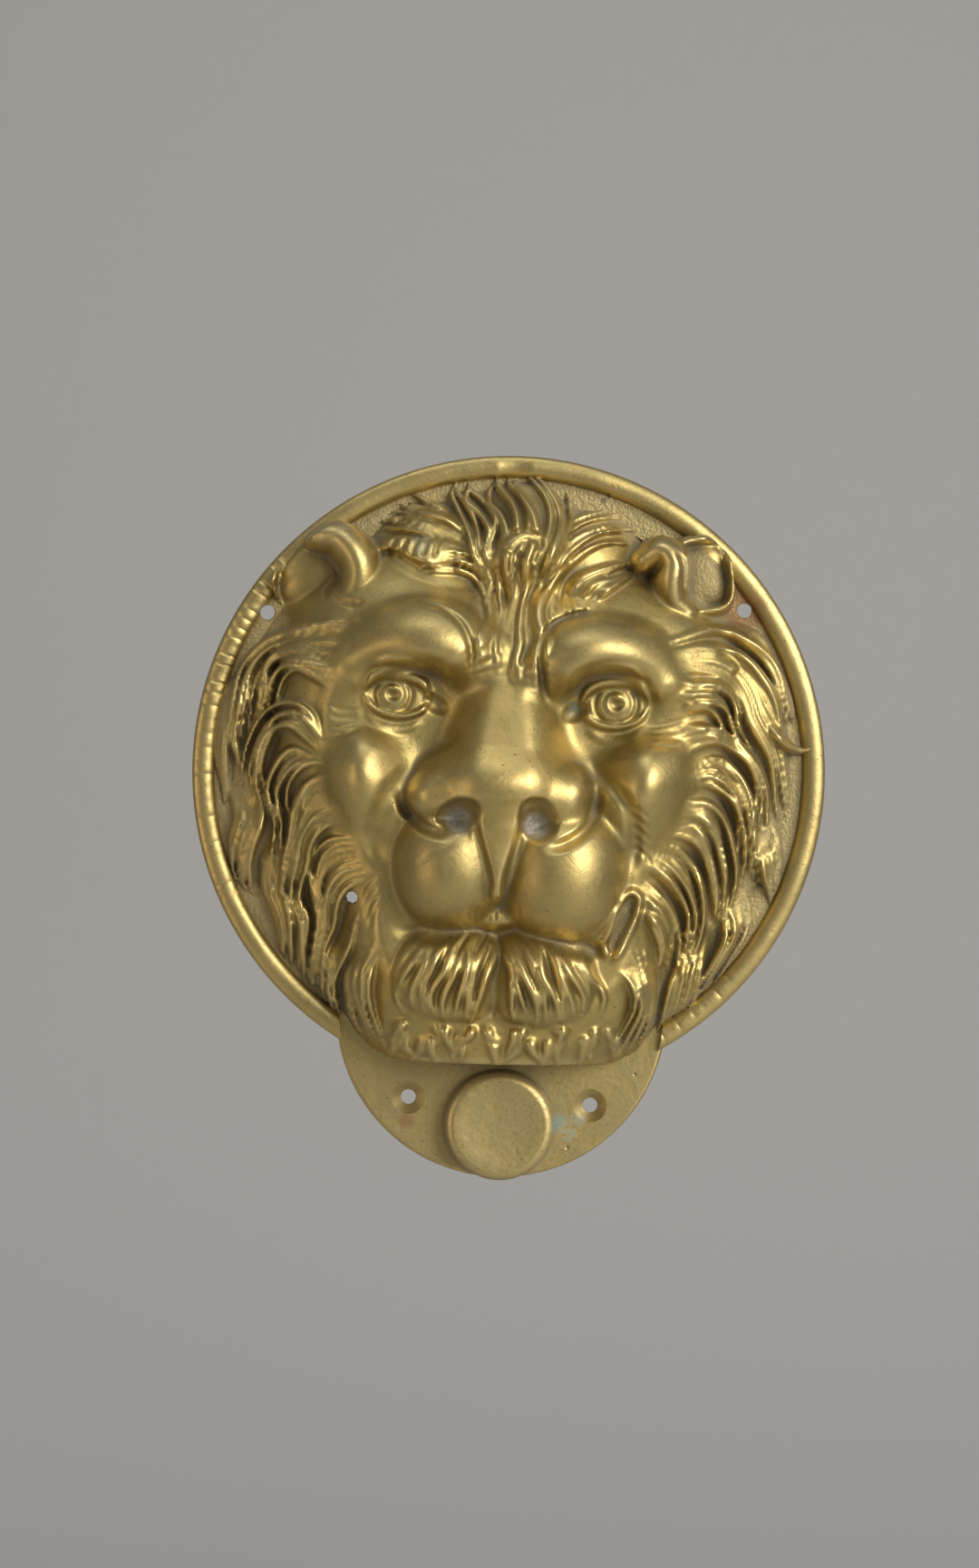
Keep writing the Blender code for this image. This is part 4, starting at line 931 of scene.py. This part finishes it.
# Brass

class Wire:
    """A socket in a material that takes part in sums."""

    def __init__(self, tree, socket):
        self.tree = tree
        self.socket = socket

    def node(self, kind, inputs, outlet=0, **settings):
        """The outlet of a new node with these settings and these inputs."""
        made = self.tree.nodes.new(kind)
        for name, value in settings.items():
            setattr(made, name, value)
        for name, value in inputs.items():
            if isinstance(value, Wire):
                self.tree.links.new(value.socket, made.inputs[name])
            else:
                made.inputs[name].default_value = value
        return Wire(self.tree, made.outputs[outlet])

    def arithmetic(operation, turned_round=False):
        def worked(self, other):
            first, second = (other, self) if turned_round else (self, other)
            return self.node("ShaderNodeMath", {0: first, 1: second}, operation=operation)
        return worked

    __add__, __radd__ = arithmetic("ADD"), arithmetic("ADD", True)
    __sub__, __rsub__ = arithmetic("SUBTRACT"), arithmetic("SUBTRACT", True)
    __mul__, __rmul__ = arithmetic("MULTIPLY"), arithmetic("MULTIPLY", True)
    most = arithmetic("MAXIMUM")

    def between(self, low, high):
        """0 under low, 1 over high, with soft ends."""
        return self.node("ShaderNodeMapRange", {"Value": self, "From Min": low, "From Max": high},
                         interpolation_type="SMOOTHSTEP")

    def noise(self, scale, detail, rough, warp=0):
        return self.node("ShaderNodeTexNoise", {"Vector": self, "Scale": scale, "Detail": detail,
                                                "Roughness": rough, "Distortion": warp})

    def tint(self, other, share):
        """This colour mixed towards another."""
        return self.node("ShaderNodeMix", {0: share, 6: self, 7: other}, 2, data_type="RGBA")

    def near(self, place, radius, soft):
        """1 within a radius of a place on the front, fading over soft."""
        offset = self.node("ShaderNodeVectorMath", {0: self, 1: place}, operation="SUBTRACT")
        flat = offset.node("ShaderNodeVectorMath", {0: offset, 1: (1, 0, 1)}, operation="MULTIPLY")
        far = flat.node("ShaderNodeVectorMath", {0: flat}, 1, operation="LENGTH")
        return 1 - far.between(radius, radius + soft)


def brass(sizes, colours):
    """Old cast brass: rubbed bright on the high places, dull and brown in the recesses, with stains, and
    painted shade round the foot of the boss and inside the bead.
    """
    old = bpy.data.materials.get("Old brass")
    if old:
        return old
    material = bpy.data.materials.new("Old brass")
    material.use_nodes = True
    tree = material.node_tree
    shader = tree.nodes["Principled BSDF"]
    place = Wire(tree, tree.nodes.new("ShaderNodeTexCoord").outputs["Object"])

    def shade(name):
        return (*getattr(colours, name), 1)

    def carved(name):
        return place.node("ShaderNodeAttribute", {}, 2, attribute_name=name)

    unit = across(sizes)

    def spot(u, v, radius, soft):
        return place.near(on_front(u, v, sizes), radius * unit, soft * unit)

    # Only the floor inside the bead and above the hem is left as dull ground
    middle = on_front(0, 0, sizes)
    height = place.node("ShaderNodeSeparateXYZ", {"Vector": place}, 2)
    above = height.between(middle[2] + HEM * unit, middle[2] + (HEM + 1) * unit)
    floor = place.near(middle, FLOOR_EDGE * unit, 0.0008) * above
    recess, ridge, face = carved("recess"), carved("ridge"), carved("face")
    ground = carved("ground") * floor * face
    clouds = place.noise(28, 3, 0.55, 0.4)
    blotches = place.noise(95, 4, 0.6, 0.6)
    fine = place.noise(900, 3, 0.6)
    grit = place.noise(2600, 2, 0.5)

    # Painted shade round the foot of the boss and in the corner just inside the bead; also darker in the
    # countersinks, round the ear holes and under the hem, and mottled dirt on the tab
    x, z = on_tab(BOSS_ASIDE, sizes.boss_below, sizes)
    boss = (x, 0, z)
    top = place.near(boss, sizes.boss_radius - 0.0014, 0.0010)
    # A ring of painted shade round the foot of the boss
    foot = place.near(boss, sizes.boss_radius + 0.0004, 0.0022) * (1 - top)
    hem = height.between(middle[2] + (HEM - 5) * unit, middle[2] + (HEM - 0.5) * unit) * (1 - above)
    grime_and_shade = (foot * 0.75).most(hem * (0.25 + blotches * 0.4))
    grime_and_shade = grime_and_shade.most((1 - above) * (fine * 0.9 + blotches * 0.5 - 0.32))
    for x, z in [on_tab(*hole, sizes) for hole in TAB_HOLES]:
        grime_and_shade = grime_and_shade.most(place.near((x, 0, z), sizes.countersink / 2 - 0.0014, 0.0016) * 0.55)
    for hole in EAR_HOLES:
        grime_and_shade = grime_and_shade.most(place.near(on_front(*hole, sizes), sizes.ear_hole / 2, 0.0016) * 0.7)
    # A ring of painted shade in the corner just inside the bead
    grime_and_shade = grime_and_shade.most((1 - place.near(middle, DIRT_FROM * unit, 0.0016))
                     * place.near(middle, FLOOR_EDGE * unit, 0.0014) * 0.5)
    # The tarnish colour here covers the patina in the recesses and the painted shade round the boss's foot
    # and inside the bead
    dark = (recess * 1.2 + grime_and_shade * face + (blotches - 0.5) * 0.35).between(0.12, 1.05) * colours.tarnish_share

    base = place.node("ShaderNodeRGB", {})
    base.socket.default_value = shade("brass")
    base = base.tint(shade("olive"), (clouds * 0.6 + blotches * 0.6).between(0.38, 0.80))
    base = base.tint(shade("ground"), ground * (0.55 + (fine - 0.5) * 1.2))
    base = base.tint(shade("bright"), ridge * 0.6 * (1 - ground * 0.6))
    base = base.tint(shade("tarnish"), dark)

    # Named stains: blue-green on the tab, by the right eye and on the left lock; rust at the holes
    green = spot(16, -97, 1.2, 2.6).most(spot(18.5, -99.5, 0.9, 2.4)).most(spot(21, -95.5, 0.7, 2.2))
    green = green.most(spot(17.6, 17.5, 0.5, 2.2)).most(spot(-25, 61.5, 0.8, 3.4))
    green = green * face * (blotches * 0.6 + fine * 0.7).between(0.50, 0.85) * 0.75
    red = spot(64.3, 46, 3.4, 4).most(spot(-26, -97, 1, 2) * 0.9)
    red = red * face * (blotches * 0.6 + fine * 0.5).between(0.30, 0.70) * 0.6
    grey = spot(-13.2, -13.2, 2.2, 2.6).most(spot(7.6, -14.2, 2.2, 2.6))
    grey = grey * face * (fine * 0.8 + grit * 0.5).between(0.25, 0.9)
    base = base.tint((0.42, 0.41, 0.38, 1), grey)
    base = base.tint(shade("verdigris"), green)
    base = base.tint(shade("rust"), red)
    specks = grit.between(0.70, 0.78) * (0.25 + 0.75 * ground)
    pits = (place.noise(1300, 1, 0.4) + spot(16, -48, 2.6, 2.6) * 0.10).between(0.73, 0.78)
    for x, z, radius in ((36.6, -82.7, 0.2), (18.4, -103.4, 0.2), (24.4, 75.4, 0.5), (25.8, 76.8, 0.4)):
        pits = pits.most(spot(x, z, radius, 0.5) * face)
    base = base.tint((0.80, 0.76, 0.62, 1), specks * 0.5)
    base = base.tint(shade("tarnish"), pits * 0.8)
    tree.links.new(base.socket, shader.inputs["Base Color"])

    metal = 1 - (dark * 0.7).most(green * 0.9).most(ground * 0.25).most(red * 0.5).most(grey * 0.8)
    tree.links.new(metal.socket, shader.inputs["Metallic"])
    rough = 0.49 + (clouds - 0.5) * 0.12 + (fine - 0.5) * 0.14 + dark * 0.18 + ground * 0.10 + green * 0.35
    rough = rough - ridge * 0.05
    tree.links.new(rough.between(0, 1).socket, shader.inputs["Roughness"])

    stippled = place.noise(1150, 2, 0.65)
    relief = grit * 0.00003 + fine * 0.00004 + stippled * (0.03 + 0.97 * ground) * 0.00042
    relief = relief + blotches * 0.0003 - pits * 0.00016
    bump = place.node("ShaderNodeBump", {"Strength": 0.9, "Distance": 1, "Height": relief})
    tree.links.new(bump.socket, shader.inputs["Normal"])
    return material


# Making the pieces

class MASK_OT_head(bpy.types.Operator):
    """Carve the head and its hollow back"""

    bl_idname = "mask.head"
    bl_label = "Carved Head"

    def execute(self, context):
        add_piece("carved_head", head_mesh, context.scene)
        return {"FINISHED"}


class MASK_OT_plate(bpy.types.Operator):
    """Turn the beaded plate with its tab and holes"""

    bl_idname = "mask.plate"
    bl_label = "Back Plate"

    def execute(self, context):
        piece = add_piece("back_plate", plate_mesh, context.scene)
        crisp(piece)
        places = [w.co.y for w in piece.data.vertices]
        for name, front, behind in (("ground", 1.0, 0.0), ("face", 1.0, 0.0), ("ridge", 0.45, 0.3)):
            mark(piece.data, name, [front if y < -0.0008 else behind for y in places])
        return {"FINISHED"}


class MASK_OT_boss(bpy.types.Operator):
    """Turn the strike boss on the tab"""

    bl_idname = "mask.boss"
    bl_label = "Strike Boss"

    def execute(self, context):
        mesh = add_piece("strike_boss", boss_mesh, context.scene).data
        mark(mesh, "face", [1.0] * len(mesh.vertices))
        mark(mesh, "ridge", [0.6] * len(mesh.vertices))
        return {"FINISHED"}


def crisp(piece, angle=22.0):
    """Smooth shading that stays crisp at hard edges."""
    bm = bmesh.new()
    bm.from_mesh(piece.data)
    bmesh.ops.dissolve_degenerate(bm, dist=1e-6, edges=bm.edges)
    for e in bm.edges:
        e.smooth = len(e.link_faces) == 2 and e.calc_face_angle(0.0) < radians(angle)
    for f in bm.faces:
        f.smooth = abs(f.normal.y) < 0.9999
    bm.to_mesh(piece.data)
    bm.free()


def area_light(name, offset, size, power, tint):
    """A soft light at an offset from the middle of the plate, turned to it."""
    data = bpy.data.lights.new(name, "AREA")
    data.shape = "ELLIPSE"
    data.size, data.size_y = size
    data.energy = power
    data.color = tint
    light = placed(name, data)
    light.location = MIDDLE + Vector(offset)
    light.rotation_euler = (-Vector(offset)).to_track_quat("-Z", "Y").to_euler()


class MASK_OT_studio(bpy.types.Operator):
    """Set up the floor, the lights and the camera"""

    bl_idname = "mask.studio"
    bl_label = "Studio"

    def execute(self, context):
        scene = context.scene
        studio = scene.mask_studio
        world = bpy.data.worlds.new("Studio")
        world.use_nodes = True
        sky = world.node_tree.nodes["Background"].inputs
        sky["Color"].default_value = (0.60, 0.61, 0.63, 1.0)
        sky["Strength"].default_value = 0.42
        scene.world = world
        scene.view_settings.view_transform = "Standard"

        # A pale sweep: floor, a wide bend and a wall well behind the mask
        floor_z, wall_y, bend = CAD_LOW.z - 0.55, 2.4, 0.6
        line = [(-4.0, floor_z)]
        line += [(wall_y - bend + bend * sin(a), floor_z + bend * (1 - cos(a)))
                 for a in (pi / 2 * k / 16 for k in range(17))]
        line += [(wall_y, 4.0)]
        bm = bmesh.new()
        rows = [[bm.verts.new((x, y, z)) for y, z in line] for x in (-5.0, 5.0)]
        for a, b, c, d in zip(rows[0], rows[0][1:], rows[1][1:], rows[1]):
            bm.faces.new((d, c, b, a))
        mesh = meshed(bm, "sweep")
        sweep = placed("sweep", mesh)
        pale = bpy.data.materials.new("Pale floor")
        pale.use_nodes = True
        look = pale.node_tree.nodes["Principled BSDF"].inputs
        look["Base Color"].default_value = (*studio.floor, 1.0)
        look["Roughness"].default_value = 0.85
        mesh.materials.append(pale)

        area_light("key", (1.15, -1.20, 0.55), (1.3, 1.3), studio.key, (1.0, 0.97, 0.92))
        area_light("top", (-0.15, -0.50, 1.50), (1.4, 0.7), studio.top, (0.95, 0.97, 1.0))
        area_light("fill", (-1.40, -0.70, -0.10), (0.5, 1.4), studio.fill, (1.0, 0.78, 0.56))

        aim = MIDDLE + Vector((-0.0052, 0.0, -0.0034))
        data = bpy.data.cameras.new("camera")
        data.lens = studio.lens
        camera = placed("camera", data)
        camera.location = aim + Vector((0.0, -studio.stand_off - scene.mask_sizes.plate_thickness, 0.0))
        turn = Matrix.Rotation(radians(90), 3, "X") @ Matrix.Rotation(studio.lean, 3, "Z")
        camera.rotation_euler = turn.to_euler()
        scene.camera = camera
        return {"FINISHED"}


class MASK_PT_panel(bpy.types.Panel):
    """The mask's sizes, colours and pieces"""

    bl_idname = "MASK_PT_panel"
    bl_label = "Wall Mask"
    bl_space_type = "VIEW_3D"
    bl_region_type = "UI"
    bl_category = "Wall Mask"

    def draw(self, context):
        for key, kind in GROUPS.items():
            box = self.layout.box()
            box.label(text=kind.__doc__)
            for name in kind.__annotations__:
                box.prop(getattr(context.scene, key), name)
        for piece in PIECES:
            self.layout.operator(piece.bl_idname)


PIECES = (MASK_OT_plate, MASK_OT_head, MASK_OT_boss, MASK_OT_studio)
GROUPS = {"mask_sizes": MaskSizes, "mask_colours": BrassColours, "mask_studio": StudioSettings}


def register():
    for group in (*GROUPS.values(), *PIECES, MASK_PT_panel):
        bpy.utils.register_class(group)
    for name, group in GROUPS.items():
        setattr(bpy.types.Scene, name, bpy.props.PointerProperty(type=group))


def unregister():
    for name in GROUPS:
        delattr(bpy.types.Scene, name)
    for group in (MASK_PT_panel, *PIECES, *GROUPS.values()):
        bpy.utils.unregister_class(group)


def main():
    register()
    bpy.ops.mask.plate()
    bpy.ops.mask.head()
    bpy.ops.mask.boss()
    bpy.ops.mask.studio()


if __name__ == "__main__":
    main()
